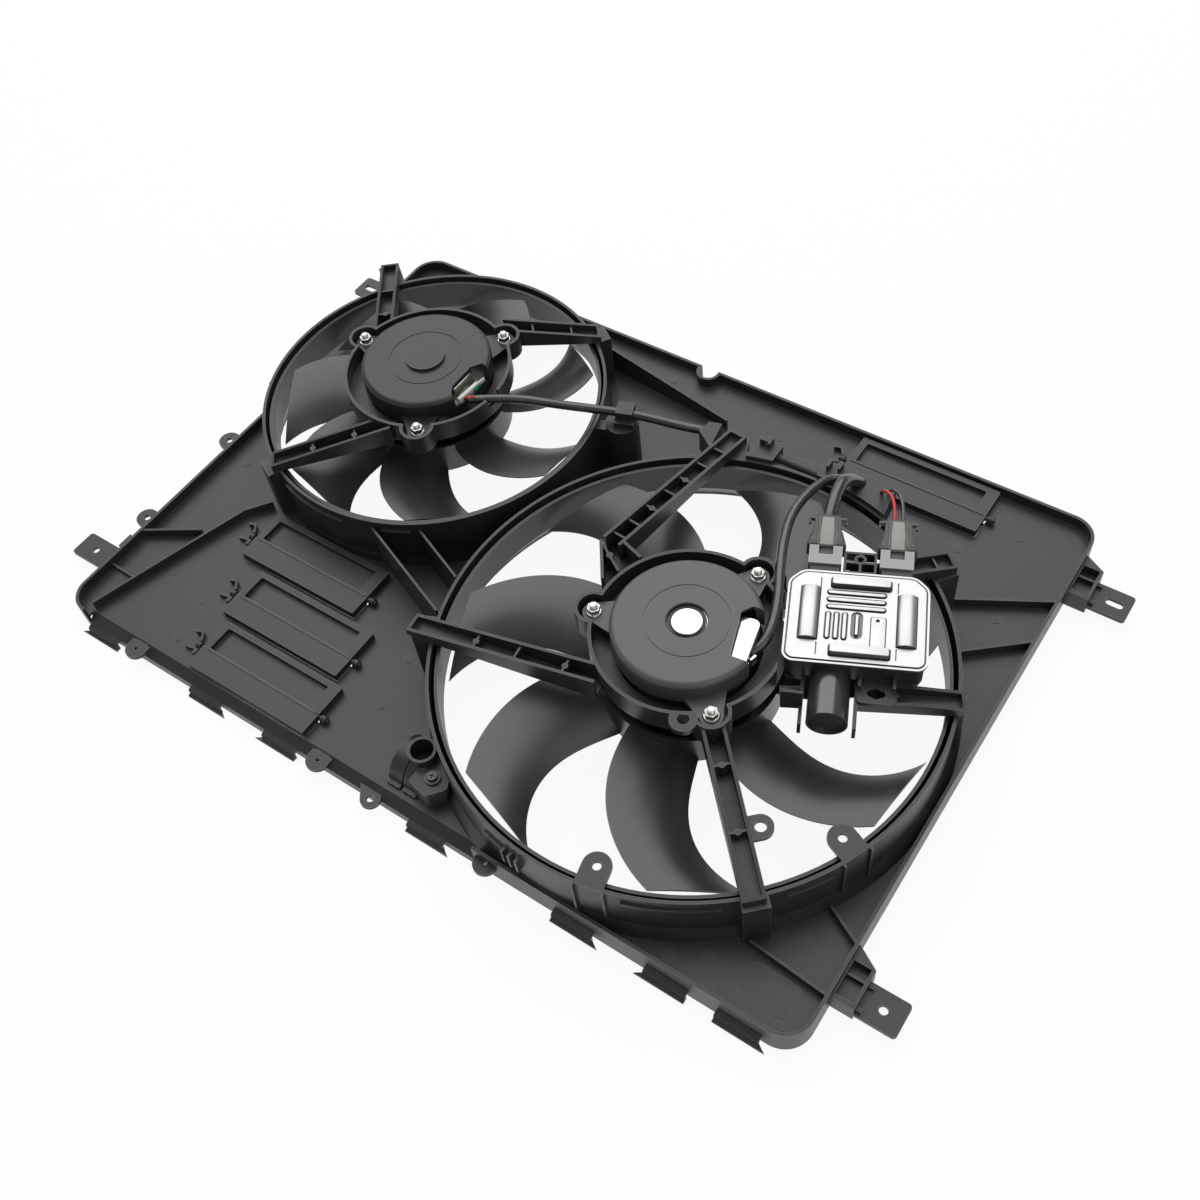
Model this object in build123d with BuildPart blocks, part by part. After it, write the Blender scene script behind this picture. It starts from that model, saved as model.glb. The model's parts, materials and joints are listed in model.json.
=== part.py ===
from build123d import *
import os
from math import atan2, cos, degrees, hypot, radians, sin, tan

# Twin-fan radiator cooling module. Millimetres, lying on its radiator side, motors upwards.
# Plans are read from the tray's corner; at() moves them to the part's origin, which is the
# middle of the whole footprint at the height of the tray's lower edge.

# Tray of the shroud
TRAY_LENGTH = 690.0
TRAY_WIDTH = 490.6
TRAY_CORNER = 22.0
TRAY_DEPTH = 26.0
PANEL_TOP = 16.5
SHEET = 2.5
NEAR_SLOPE_RUN = 8.0
NEAR_SLOPE_FOOT = 9.0
NEAR_LIP_START = 428.0
EAR_REACH_LEFT = 47.0
EAR_REACH_RIGHT = 47.0
EAR_TOP = 12.0
EAR_THICKNESS = 3.0
EAR_HOLE_R = 3.2
EAR_SLOT_LENGTH = 14.0
EAR_WIDTH = 24.0
EAR_CORNER = 3.0
LOWER_EARS_Y = 56.0
UPPER_EARS_Y = TRAY_WIDTH - 55.6
LOWER_HOLES_X = (-29.4, TRAY_LENGTH + 32.2)
UPPER_HOLES_X = (-34.5, TRAY_LENGTH + 34.5)
CLIP_REACH = 7.0
NEAR_REACH = 11.0
EDGE_LUG_R = 8.0
CLIP_WIDTH = 34.0
RIB_TOP = 25.0
RIB_THICKNESS = 1.8

ORIGIN_X = (TRAY_LENGTH + EAR_REACH_RIGHT - EAR_REACH_LEFT) / 2
ORIGIN_Y = (TRAY_WIDTH - NEAR_REACH) / 2

# Fan rings: inner wall, outer wall, flared foot
LARGE_AXIS = (487.9, 197.0)
LARGE_INNER_R = 186.2
LARGE_OUTER_R = 194.5
SMALL_AXIS = (153.0, 316.8)
SMALL_INNER_R = 142.6
SMALL_OUTER_R = 150.2
LARGE_FLARE_RUN = 11.8
SMALL_FLARE_RUN = 8.2
FLARE_TOP = 35.0
INNER_RIM = 62.0
OUTER_RIM = 66.0
RING_CLEARANCE = 0.5

# Fans: the edge curves are in degrees against the radius
BLADE_COUNT = 7
BLADE_TIP_GAP = 3.8
BLADE_THICKNESS = 2.6
BLADE_EDGE = 0.9
BLADE_STATIONS = 5
HUB_SHEET = 2.6
HUB_FLOOR = 26.0
LARGE_HUB_R = 70.0
LARGE_HUB_TOP = 60.5
SMALL_HUB_R = 64.0
SMALL_HUB_TOP = 60.5

# Motors
CAN_R = 50.0
CAN_SHEET = 2.2
CAN_FLOOR = 38.0
COVER_R = 55.5
COVER_ROUND = 4.5
SHAFT_R = 4.0
SHAFT_FIT = 0.04
EAR_PITCH_R = 71.0
EAR_PAD_R = 10.5
STUD_R = 2.9
BEARING_DROP = 14.2
BEARING_R = 11.0
SEAT_R = 13.5
CARRIER_FLOOR = 78.0
CARRIER_WALL = 2.6
CARRIER_R = 71.5
LARGE_CARRIER_TOP = 99.0
SMALL_CARRIER_TOP = 96.0
EAR_UNDER_DROP = 9.0
LARGE_COVER_TOP = 109.0
SMALL_COVER_TOP = 105.0
LARGE_EAR_ANGLES = (-164.8, 75.5, -44.8)
SMALL_EAR_ANGLES = (179.0, 60.5, -58.8)

# Spokes
SPOKE_WIDTH = 16.5
SPOKE_SHEET = 2.4
SPOKE_END_TOP = 72.0
SPOKE_END_FLOOR = 64.2
SPOKE_ROOT_FLOOR = 80.0

# Control module
MODULE_AXIS = (586.3, 264.3)
MODULE_TURN = 24.7
MODULE_LENGTH = 96.0
MODULE_WIDTH = 76.0
MODULE_FLOOR = 80.0
MODULE_TOP = 98.0
PLATFORM = 2.5
COVER_FLANGE = 2.0
COVER_PRESS = 4.0
CANISTER_X = -15.0
CANISTER_R = 14.5
CANISTER_LENGTH = 35.0
CANISTER_DROP = 2.0
CRADLE_SPAN = 35.0
CRADLE_REACH = 40.0
FOOT_X = 17.0
LEFT_SOCKET_X = -25.5
RIGHT_SOCKET_X = 26.0
SOCKET_WIDE = 24.0
SOCKET_REACH = 27.0
PLUG_START = 14.0
PLUG_END = 58.0

# Relief flaps
FLAP_LENGTH = 124.0
FLAP_FRONT = 28.5
FLAP_BACK = 19.0
FLAP_HEIGHT = 6.5
FLAP_SHEET = 2.0
FLAP_SEAT = 0.3
FLAP_LEDGE = 3.0
FLAP_GAP = 1.0
FLAP_EYE_REACH = 9.0
EYE_R = 3.2
EYE_THICKNESS = 4.0
FLAP_AXES = ((156.0, 133.8), (184.0, 80.5), (196.0, 27.8), (544.0, TRAY_WIDTH - 33.1))
PIN_R = 1.6
PIN_FIT = 0.05


def at(x, y, z=0.0):
    """A plan position, read from the tray's corner, in the part's own frame."""
    return (x - ORIGIN_X, y - ORIGIN_Y, z)


def polar(axis, radius, angle, z=0.0):
    """A position round a vertical axis given in plan."""
    turn = radians(angle)
    return at(axis[0] + radius * cos(turn), axis[1] + radius * sin(turn), z)


def upright(axis):
    """The vertical plane through a fan axis, for profiles that are revolved about it."""
    return Plane(origin=at(*axis), x_dir=(1, 0, 0), z_dir=(0, -1, 0))


def along(start, end):
    """The vertical plane that runs from one plan position to another, up being +Z."""
    length = hypot(end[0] - start[0], end[1] - start[1])
    way = ((end[0] - start[0]) / length, (end[1] - start[1]) / length)
    plane = Plane(origin=at(*start), x_dir=(way[0], way[1], 0), z_dir=(way[1], -way[0], 0))
    return plane, length


def spin_axis(axis):
    """The vertical turning axis of a fan or a motor."""
    return Axis(at(*axis), (0, 0, 1))


def keep(piece, name):
    """Label a finished piece and write it to its own file."""
    piece.part.label = name
    export_step(piece.part, f"parts/{name}.step")


def tray_outline(inset=0.0):
    """The tray's rounded rectangle, drawn in the open sketch."""
    with Locations(at(TRAY_LENGTH / 2, TRAY_WIDTH / 2)):
        RectangleRounded(TRAY_LENGTH - 2 * inset, TRAY_WIDTH - 2 * inset, TRAY_CORNER - inset)


def rib(start, end, low, high, thickness=RIB_THICKNESS, end_high=None):
    """A standing rib between two plan positions, with its top level or sloping."""
    plane, length = along(start, end)
    with BuildSketch(plane) as side:
        with BuildLine():
            Polyline((0, low), (length, low), (length, end_high or high), (0, high), close=True)
        make_face()
    extrude(side.sketch, amount=thickness / 2, both=True)


def lug(centre, radius, hole_radius, root, low, high):
    """A round-ended lug that runs from its hole to a root position, with its hole."""
    plane, length = along(root, centre)
    with BuildSketch(Plane(origin=at(*root, low), x_dir=plane.x_dir, z_dir=(0, 0, 1))) as shape:
        with Locations((length / 2, 0)):
            Rectangle(length, 2 * radius)
        with Locations((length, 0)):
            Circle(radius)
        with Locations((length, 0)):
            Circle(hole_radius, mode=Mode.SUBTRACT)
    extrude(shape.sketch, amount=high - low)


os.makedirs("parts", exist_ok=True)

# Shroud panel: the tray with its lip, walls and openings
FLAP_PIN_Z = PANEL_TOP + FLAP_SEAT + 3.4
LARGE_FOOT_R = LARGE_INNER_R + LARGE_FLARE_RUN
SMALL_FOOT_R = SMALL_INNER_R + SMALL_FLARE_RUN
RINGS = ((LARGE_AXIS, LARGE_FOOT_R, LARGE_OUTER_R), (SMALL_AXIS, SMALL_FOOT_R, SMALL_OUTER_R))
HOOKS = ((40.0, -1), (158.0, 1), (238.0, -1), (384.0, 1), (515.0, 1), (591.0, -1), (647.0, 1))
PADS = (81.0, 279.0, 439.0)
SIDE_LUGS = (105.5, 211.0)
NOTCH_X = 326.0
NOTCH_LENGTH = 24.0
NOTCH_WIDTH = 17.0
MARK_R = 3.6
MARK_HEIGHT = 0.4
MARKS = (
    (52, 72),
    (95, 62),
    (104, 25),
    (282, 106),
    (290, 62),
    (262, 128),
    (656, 72),
    (608, 26),
    (671, 9),
    (619, 8),
    (586, 11),
    (655, 372),
    (638, 455),
    (600, 420),
    (418, 455),
    (300, 470),
    (22, 196),
)
PANEL_RIBS = (
    ((22, 10), (52, 109), RIB_TOP, RIB_TOP),
    ((52, 109), (65, 150), RIB_TOP, RIB_TOP),
    ((65, 150), (80, 170), RIB_TOP, RIB_TOP),
    ((2, 88), (47, 115), RIB_TOP, RIB_TOP),
    ((2, 50), (30, 49), PANEL_TOP + 4, PANEL_TOP + 4),
    ((214, TRAY_WIDTH - 31.1), (372, TRAY_WIDTH - 48.1), 44.0, 27.0),
    ((619, 367.6), (688, 405), RIB_TOP, RIB_TOP),
    ((646, 327), (688, 362), RIB_TOP, RIB_TOP),
    ((662, 96), (688, 82), RIB_TOP, RIB_TOP),
    ((628, 46.5), (688, 41), RIB_TOP, RIB_TOP),
    ((199, 174), (298, 135.2), 60.0, 60.0),
    ((236, 191), (291, 168.7), 60.0, 60.0),
)

with BuildPart() as shroud_panel:
    with BuildSketch():
        tray_outline()
    extrude(amount=TRAY_DEPTH)
    with BuildSketch(Plane.XY.offset(PANEL_TOP)):
        tray_outline(SHEET)
    extrude(amount=TRAY_DEPTH - PANEL_TOP, mode=Mode.SUBTRACT)
    with BuildSketch():
        tray_outline(SHEET)
    extrude(amount=PANEL_TOP - SHEET, mode=Mode.SUBTRACT)
    # The near edge has no lip on its left part: it slopes down to a lower wall
    with BuildSketch(Plane(origin=at(TRAY_CORNER, 0), x_dir=(0, 1, 0), z_dir=(1, 0, 0))):
        with BuildLine():
            Polyline(
                (-1, NEAR_SLOPE_FOOT),
                (0, NEAR_SLOPE_FOOT),
                (NEAR_SLOPE_RUN, PANEL_TOP),
                (NEAR_SLOPE_RUN, TRAY_DEPTH + 1),
                (-1, TRAY_DEPTH + 1),
                close=True,
            )
        make_face()
    extrude(amount=NEAR_LIP_START - TRAY_CORNER, mode=Mode.SUBTRACT)
    with BuildSketch(Plane(origin=at(TRAY_CORNER, 0), x_dir=(0, 1, 0), z_dir=(1, 0, 0))):
        with BuildLine():
            Polyline(
                (0, NEAR_SLOPE_FOOT - 2 * SHEET),
                (0, NEAR_SLOPE_FOOT),
                (NEAR_SLOPE_RUN, PANEL_TOP),
                (NEAR_SLOPE_RUN + SHEET, PANEL_TOP),
                (NEAR_SLOPE_RUN + SHEET, PANEL_TOP - SHEET),
                (SHEET, NEAR_SLOPE_FOOT - 2 * SHEET),
                close=True,
            )
        make_face()
    extrude(amount=NEAR_LIP_START - TRAY_CORNER)
    # Standing ribs of the panel
    for rib_start, rib_end, rib_high, rib_low in PANEL_RIBS:
        rib(rib_start, rib_end, PANEL_TOP - 1, rib_high, end_high=rib_low)
    # Openings below the two fan rings, kept inside the tray's walls
    with BuildSketch():
        with Locations(at(*LARGE_AXIS)):
            Circle(LARGE_FOOT_R)
        with Locations(at(*SMALL_AXIS)):
            Circle(SMALL_FOOT_R)
        with Locations(at(TRAY_LENGTH / 2, TRAY_WIDTH / 2)):
            RectangleRounded(
                TRAY_LENGTH - 2 * SHEET,
                TRAY_WIDTH - 2 * SHEET,
                TRAY_CORNER - SHEET,
                mode=Mode.INTERSECT,
            )
    extrude(amount=OUTER_RIM, mode=Mode.SUBTRACT)
    # Room for the rings' feet and, above the lip, for their outer walls
    for ring_axis, foot_r, wall_r in RINGS:
        with BuildSketch(Plane.XY.offset(PANEL_TOP)):
            with Locations(at(*ring_axis)):
                Circle(foot_r + SHEET)
            with Locations(at(TRAY_LENGTH / 2, TRAY_WIDTH / 2)):
                RectangleRounded(
                    TRAY_LENGTH - 2 * SHEET,
                    TRAY_WIDTH - 2 * SHEET,
                    TRAY_CORNER - SHEET,
                    mode=Mode.INTERSECT,
                )
        extrude(amount=TRAY_DEPTH - PANEL_TOP, mode=Mode.SUBTRACT)
        with BuildSketch(Plane.XY.offset(TRAY_DEPTH)):
            with Locations(at(*ring_axis)):
                Circle(wall_r)
        extrude(amount=OUTER_RIM, mode=Mode.SUBTRACT)
    # Low round marks of the mould's pins, and the raised field in the near right corner
    with BuildSketch(Plane.XY.offset(PANEL_TOP - 1)):
        with Locations(*[at(*mark) for mark in MARKS]):
            Circle(MARK_R)
        with Locations(at(TRAY_LENGTH - 36, 27)):
            RectangleRounded(38, 24, 5)
    extrude(amount=1 + MARK_HEIGHT)
    # Windows below the flaps, each with its own band of panel: a narrow one under the front
    # part, a wide one behind the pin
    for flap_x, flap_y in FLAP_AXES:
        with BuildSketch(Plane.XY.offset(PANEL_TOP - SHEET)):
            with Locations(at(flap_x, flap_y + (FLAP_FRONT + 1.5 - FLAP_BACK) / 2)):
                Rectangle(FLAP_LENGTH + 2 * FLAP_EYE_REACH, FLAP_FRONT + 1.5 + FLAP_BACK)
        extrude(amount=SHEET)
        with BuildSketch():
            with Locations(at(flap_x, flap_y + (FLAP_FRONT - FLAP_LEDGE) / 2)):
                Rectangle(FLAP_LENGTH - 2 * FLAP_LEDGE, FLAP_FRONT - FLAP_LEDGE)
            with Locations(at(flap_x, flap_y - (FLAP_BACK + FLAP_GAP) / 2 + 1)):
                Rectangle(FLAP_LENGTH + 2 * FLAP_GAP, FLAP_BACK + FLAP_GAP + 2)
        extrude(amount=PANEL_TOP + 1, mode=Mode.SUBTRACT)
        # Eyes that carry the flap's trunnions, with a latch bar and its hook on the left
        for side in (-1, 1):
            eye_x = flap_x + side * (FLAP_LENGTH / 2 + FLAP_GAP + EYE_THICKNESS)
            plane = Plane(
                origin=at(eye_x - EYE_THICKNESS / 2, flap_y), x_dir=(0, 1, 0), z_dir=(1, 0, 0)
            )
            with BuildSketch(plane):
                with Locations((0, (PANEL_TOP + FLAP_PIN_Z) / 2 - 0.5)):
                    Rectangle(2 * EYE_R, FLAP_PIN_Z - PANEL_TOP + 1)
                with Locations((0, FLAP_PIN_Z)):
                    Circle(EYE_R)
                with Locations((0, FLAP_PIN_Z)):
                    Circle(PIN_R + PIN_FIT, mode=Mode.SUBTRACT)
            extrude(amount=EYE_THICKNESS)
        latch_x = flap_x - FLAP_LENGTH / 2 - FLAP_GAP - 1.5 * EYE_THICKNESS
        rib((latch_x, flap_y + EYE_R + 0.6), (latch_x - 5, flap_y + 11), PANEL_TOP - 1, PANEL_TOP + 4.5)
        rib((latch_x - 5, flap_y + 11), (latch_x - 11, flap_y + 9), PANEL_TOP - 1, PANEL_TOP + 4.5)
        rib((latch_x, flap_y - EYE_R - 0.6), (latch_x - 9, flap_y - 6), PANEL_TOP - 1, PANEL_TOP + 3.5)
        rib((latch_x + 3, flap_y - 9), (latch_x + 3, flap_y - 4), PANEL_TOP - 1, PANEL_TOP + 5.5, 3.0)
        rib((latch_x - 3, flap_y - 3.5), (latch_x - 3, flap_y + 3.5), PANEL_TOP - 1, PANEL_TOP + 1.2, 4.0)
    # Notch in the far lip
    with BuildSketch():
        with Locations(at(NOTCH_X, TRAY_WIDTH)):
            SlotOverall(NOTCH_LENGTH, NOTCH_WIDTH, rotation=90)
    extrude(amount=TRAY_DEPTH, mode=Mode.SUBTRACT)
    with BuildSketch(Plane.XY.offset(PANEL_TOP - SHEET)):
        with Locations(at(NOTCH_X, TRAY_WIDTH)):
            SlotOverall(NOTCH_LENGTH + 2 * SHEET, NOTCH_WIDTH + 2 * SHEET, rotation=90)
            SlotOverall(NOTCH_LENGTH, NOTCH_WIDTH, rotation=90, mode=Mode.SUBTRACT)
        with Locations(at(TRAY_LENGTH / 2, TRAY_WIDTH / 2)):
            Rectangle(TRAY_LENGTH, TRAY_WIDTH, mode=Mode.INTERSECT)
    extrude(amount=TRAY_DEPTH - PANEL_TOP + SHEET)
    # Hook clips along the near edge
    for hook_x, hook_way in HOOKS:
        with BuildSketch(Plane(origin=at(hook_x - CLIP_WIDTH / 2, 0), x_dir=(0, 1, 0), z_dir=(1, 0, 0))):
            with BuildLine():
                Polyline(
                    (0.5, 6.5),
                    (0.5, 8.8),
                    (-3.2, 7.6),
                    (-4.6, 6.0),
                    (-4.6, 2.4),
                    (-CLIP_REACH, 1.6),
                    (-CLIP_REACH, 0),
                    (-2.6, 0),
                    (-2.6, 5.6),
                    (-1.6, 6.5),
                    close=True,
                )
            make_face()
        extrude(amount=CLIP_WIDTH)
        tip_x = hook_x + hook_way * CLIP_WIDTH / 2
        with BuildSketch():
            with BuildLine():
                Polyline(
                    at(tip_x, -CLIP_REACH)[:2],
                    at(tip_x + hook_way * 6, -CLIP_REACH)[:2],
                    at(tip_x, -CLIP_REACH + 4)[:2],
                    close=True,
                )
            make_face()
        extrude(amount=1.6)
    # Round pads and lugs of the near edge, lugs of the left edge
    for pad_x in PADS:
        lug((pad_x, 0), 9.5, 1.8, (pad_x, 6), 12.5, 15.5)
    lug((333, EDGE_LUG_R - NEAR_REACH), EDGE_LUG_R, 3.1, (322, 12), 9.0, 12.0)
    for lug_y in SIDE_LUGS:
        lug((-16.5, lug_y), 9.5, 3.0, (1, lug_y), EAR_TOP - EAR_THICKNESS, EAR_TOP)
    # Mounting ears with their boxes
    with BuildSketch(Plane.XY.offset(EAR_TOP - EAR_THICKNESS)):
        for ear_y in (LOWER_EARS_Y, UPPER_EARS_Y):
            with Locations(at(2 - EAR_REACH_LEFT / 2, ear_y)):
                RectangleRounded(EAR_REACH_LEFT + 4, EAR_WIDTH, EAR_CORNER)
            with Locations(at(TRAY_LENGTH + EAR_REACH_RIGHT / 2 - 2, ear_y)):
                RectangleRounded(EAR_REACH_RIGHT + 4, EAR_WIDTH + 2, EAR_CORNER)
        with Locations(at(LOWER_HOLES_X[0], LOWER_EARS_Y), at(LOWER_HOLES_X[1], LOWER_EARS_Y)):
            Circle(EAR_HOLE_R, mode=Mode.SUBTRACT)
        with Locations(at(UPPER_HOLES_X[0], UPPER_EARS_Y), at(UPPER_HOLES_X[1], UPPER_EARS_Y)):
            SlotOverall(EAR_SLOT_LENGTH, 2 * EAR_HOLE_R, mode=Mode.SUBTRACT)
    extrude(amount=EAR_THICKNESS)
    for box_y, flare in ((LOWER_EARS_Y, 11), (UPPER_EARS_Y, 10)):
        with BuildSketch(Plane.XY.offset(3.0)):
            with BuildLine():
                Polyline(
                    at(TRAY_LENGTH - 1, box_y - 13)[:2],
                    at(TRAY_LENGTH + 17, box_y - 13)[:2],
                    at(TRAY_LENGTH + 17, box_y + 18)[:2],
                    at(TRAY_LENGTH - 1, box_y + 18 + flare)[:2],
                    close=True,
                )
            make_face()
        extrude(amount=17.0)
        with BuildSketch(Plane.XY.offset(EAR_TOP)):
            with Locations(at(TRAY_LENGTH + 8, box_y + 4)):
                Rectangle(13, 26)
        extrude(amount=9.0, mode=Mode.SUBTRACT)
        # Inner rib of the ear's box, and the step in front of the ear
        rib((TRAY_LENGTH + 1, box_y + 8), (TRAY_LENGTH + 15, box_y + 8), EAR_TOP - 1, EAR_TOP + 5)
        for step_y in (box_y - 9, box_y + 9):
            rib((TRAY_LENGTH + 16, step_y), (TRAY_LENGTH + 21, step_y), EAR_TOP - 1, EAR_TOP + 3, 3.0)
    with BuildSketch(Plane.XY.offset(3.0)):
        with Locations(at(-5, LOWER_EARS_Y + 19)):
            Rectangle(12, 14)
    extrude(amount=14.0)
keep(shroud_panel, "shroud_panel")


def bead(axis, radius, start, span, low, height, reach):
    """A level bead round part of a ring's outer wall."""
    turn = radians(start)
    side = Plane(origin=at(*axis), x_dir=(cos(turn), sin(turn), 0), z_dir=(sin(turn), -cos(turn), 0))
    with BuildSketch(side) as section:
        with Locations((radius - 1, low)):
            Rectangle(reach + 1, height, align=(Align.MIN, Align.MIN))
    revolve(section.sketch, axis=spin_axis(axis), revolution_arc=span)


def fan_ring(axis, inner_r, outer_r, foot_r, pillars, tabs, bosses, pips, beads):
    """A double-wall fan ring: flared duct, outer wall, pillars, lugs, snap pips and beads."""
    with BuildPart() as ring:
        with BuildSketch(upright(axis)):
            with BuildLine():
                Polyline(
                    (inner_r, INNER_RIM),
                    (inner_r, FLARE_TOP),
                    (foot_r, PANEL_TOP),
                    (foot_r + SHEET, PANEL_TOP),
                    (inner_r + SHEET, FLARE_TOP + 1),
                    (inner_r + SHEET, INNER_RIM),
                    close=True,
                )
            make_face()
            with BuildLine():
                Polyline(
                    (outer_r - SHEET, FLARE_TOP - 8),
                    (outer_r, FLARE_TOP - 11),
                    (outer_r, OUTER_RIM),
                    (outer_r - SHEET, OUTER_RIM),
                    close=True,
                )
            make_face()
        revolve(axis=spin_axis(axis))
        for angle, width, reach in pillars:
            turn = radians(angle)
            middle = outer_r + (reach - outer_r) / 2 - 0.6
            where = Plane(
                origin=at(axis[0] + middle * cos(turn), axis[1] + middle * sin(turn), PANEL_TOP),
                x_dir=(cos(turn), sin(turn), 0),
                z_dir=(0, 0, 1),
            )
            with BuildSketch(where):
                Rectangle(reach - outer_r + 1.2, width)
            extrude(amount=OUTER_RIM - PANEL_TOP)
        # The pillars stand outside the flared duct, so its inside is cleared again
        with BuildSketch(upright(axis)):
            with BuildLine():
                Polyline(
                    (0, PANEL_TOP),
                    (foot_r, PANEL_TOP),
                    (inner_r, FLARE_TOP),
                    (inner_r, OUTER_RIM),
                    (0, OUTER_RIM),
                    close=True,
                )
            make_face()
        revolve(axis=spin_axis(axis), mode=Mode.SUBTRACT)
        for angle, reach in tabs:
            root = (
                axis[0] + (outer_r - 1) * cos(radians(angle)),
                axis[1] + (outer_r - 1) * sin(radians(angle)),
            )
            eye = (
                axis[0] + reach * cos(radians(angle)),
                axis[1] + reach * sin(radians(angle)),
            )
            lug(eye, 10.5, 3.2, root, OUTER_RIM - SHEET, OUTER_RIM)
            for offset in (-3.2, 3.2):
                foot = angle + offset
                with BuildSketch(Plane.XY.offset(PANEL_TOP)):
                    with Locations(polar(axis, outer_r + 1.0, foot)[:2]):
                        Rectangle(3.0, 1.8, rotation=foot)
                extrude(amount=OUTER_RIM - PANEL_TOP)
        for boss_x, boss_y in bosses:
            with BuildSketch(Plane.XY.offset(PANEL_TOP)):
                with Locations(at(boss_x, boss_y)):
                    Circle(14)
            extrude(amount=68.0 - PANEL_TOP)
            bearing = atan2(boss_y - axis[1], boss_x - axis[0])
            root = (axis[0] + (outer_r - 1) * cos(bearing), axis[1] + (outer_r - 1) * sin(bearing))
            rib(root, (boss_x, boss_y), PANEL_TOP, OUTER_RIM - 6, 4 * SHEET)
        for angle in pips:
            with BuildSketch(Plane.XY.offset(OUTER_RIM - 7)):
                with Locations(polar(axis, outer_r + 1.2, angle)[:2]):
                    RegularPolygon(2.6, 3, rotation=angle)
            extrude(amount=2.4)
        for start, span, low in beads:
            bead(axis, outer_r, start, span, low, 1.6, 2.0)
        # Nothing of the ring passes the tray's walls
        with BuildSketch():
            with Locations(at(TRAY_LENGTH / 2, TRAY_WIDTH / 2)):
                Rectangle(2 * TRAY_LENGTH, 2 * TRAY_WIDTH)
                RectangleRounded(
                    TRAY_LENGTH - 2 * SHEET,
                    TRAY_WIDTH - 2 * SHEET,
                    TRAY_CORNER - SHEET,
                    mode=Mode.SUBTRACT,
                )
        extrude(amount=TRAY_DEPTH, mode=Mode.SUBTRACT)
    return ring


LARGE_PILLARS = ((-156.4, 19, 210), (111.3, 20, 214), (-45.6, 19, 203), (18.2, 18, 198), (53.4, 22, 212))
SMALL_PILLARS = ((142.5, 19, 178), (55.5, 18, 162), (-115.5, 19, 160))
large_fan_ring = fan_ring(
    LARGE_AXIS,
    LARGE_INNER_R,
    LARGE_OUTER_R,
    LARGE_FOOT_R,
    LARGE_PILLARS,
    ((-78.0, 178.0), (-23.6, 179.0)),
    (),
    (),
    ((-71.5, 19.5, 57.0), (-39.0, 10.0, 57.0), (-104.0, 6.0, 54.0), (120.0, 26.0, 57.0)),
)
# Comb of three teeth on the outer wall, for a clip
with BuildPart() as ring_with_comb:
    add(large_fan_ring.part)
    for tooth_angle in (-97.6, -95.8, -94.0):
        with BuildSketch(Plane.XY.offset(OUTER_RIM - 22)):
            with Locations(polar(LARGE_AXIS, LARGE_OUTER_R + 2.0, tooth_angle)[:2]):
                Rectangle(6.0, 1.8, rotation=tooth_angle)
        extrude(amount=16.0)
keep(ring_with_comb, "large_fan_ring")
small_fan_ring = fan_ring(
    SMALL_AXIS,
    SMALL_INNER_R,
    SMALL_OUTER_R,
    SMALL_FOOT_R,
    SMALL_PILLARS,
    (),
    ((317.5, 365.0),),
    (172.0, 158.0, 187.0, 204.0),
    ((-108.0, 26.0, 57.0), (-68.5, 9.0, 57.0)),
)
keep(small_fan_ring, "small_fan_ring")


def blade_section(radius, low_angle, low_z, high_angle, high_z):
    """One blade section: a thin cambered outline on the plane that faces outwards."""
    middle = (low_angle + high_angle) / 2
    half = radians((high_angle - low_angle) / 2)
    turn = radians(middle)
    chord = Vector(2 * radius * sin(half), high_z - low_z)
    flat = Plane(
        origin=(radius * cos(half) * cos(turn), radius * cos(half) * sin(turn), (low_z + high_z) / 2),
        x_dir=(-sin(turn), cos(turn), 0),
        z_dir=(cos(turn), sin(turn), 0),
    )
    start = Vector(-chord.X / 2, -chord.Y / 2)
    end = Vector(chord.X / 2, chord.Y / 2)
    normal = Vector(-chord.Y, chord.X).normalized()
    camber = normal * (0.05 * chord.length)
    thick = normal * (BLADE_THICKNESS / 2)
    edge = normal * (BLADE_EDGE / 2)
    with BuildSketch(flat) as section:
        with BuildLine():
            ThreePointArc(start + edge, camber + thick, end + edge)
            Line(end + edge, end - edge)
            ThreePointArc(end - edge, camber - thick, start - edge)
            Line(start - edge, start + edge)
        make_face()
    return section.sketch


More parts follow.
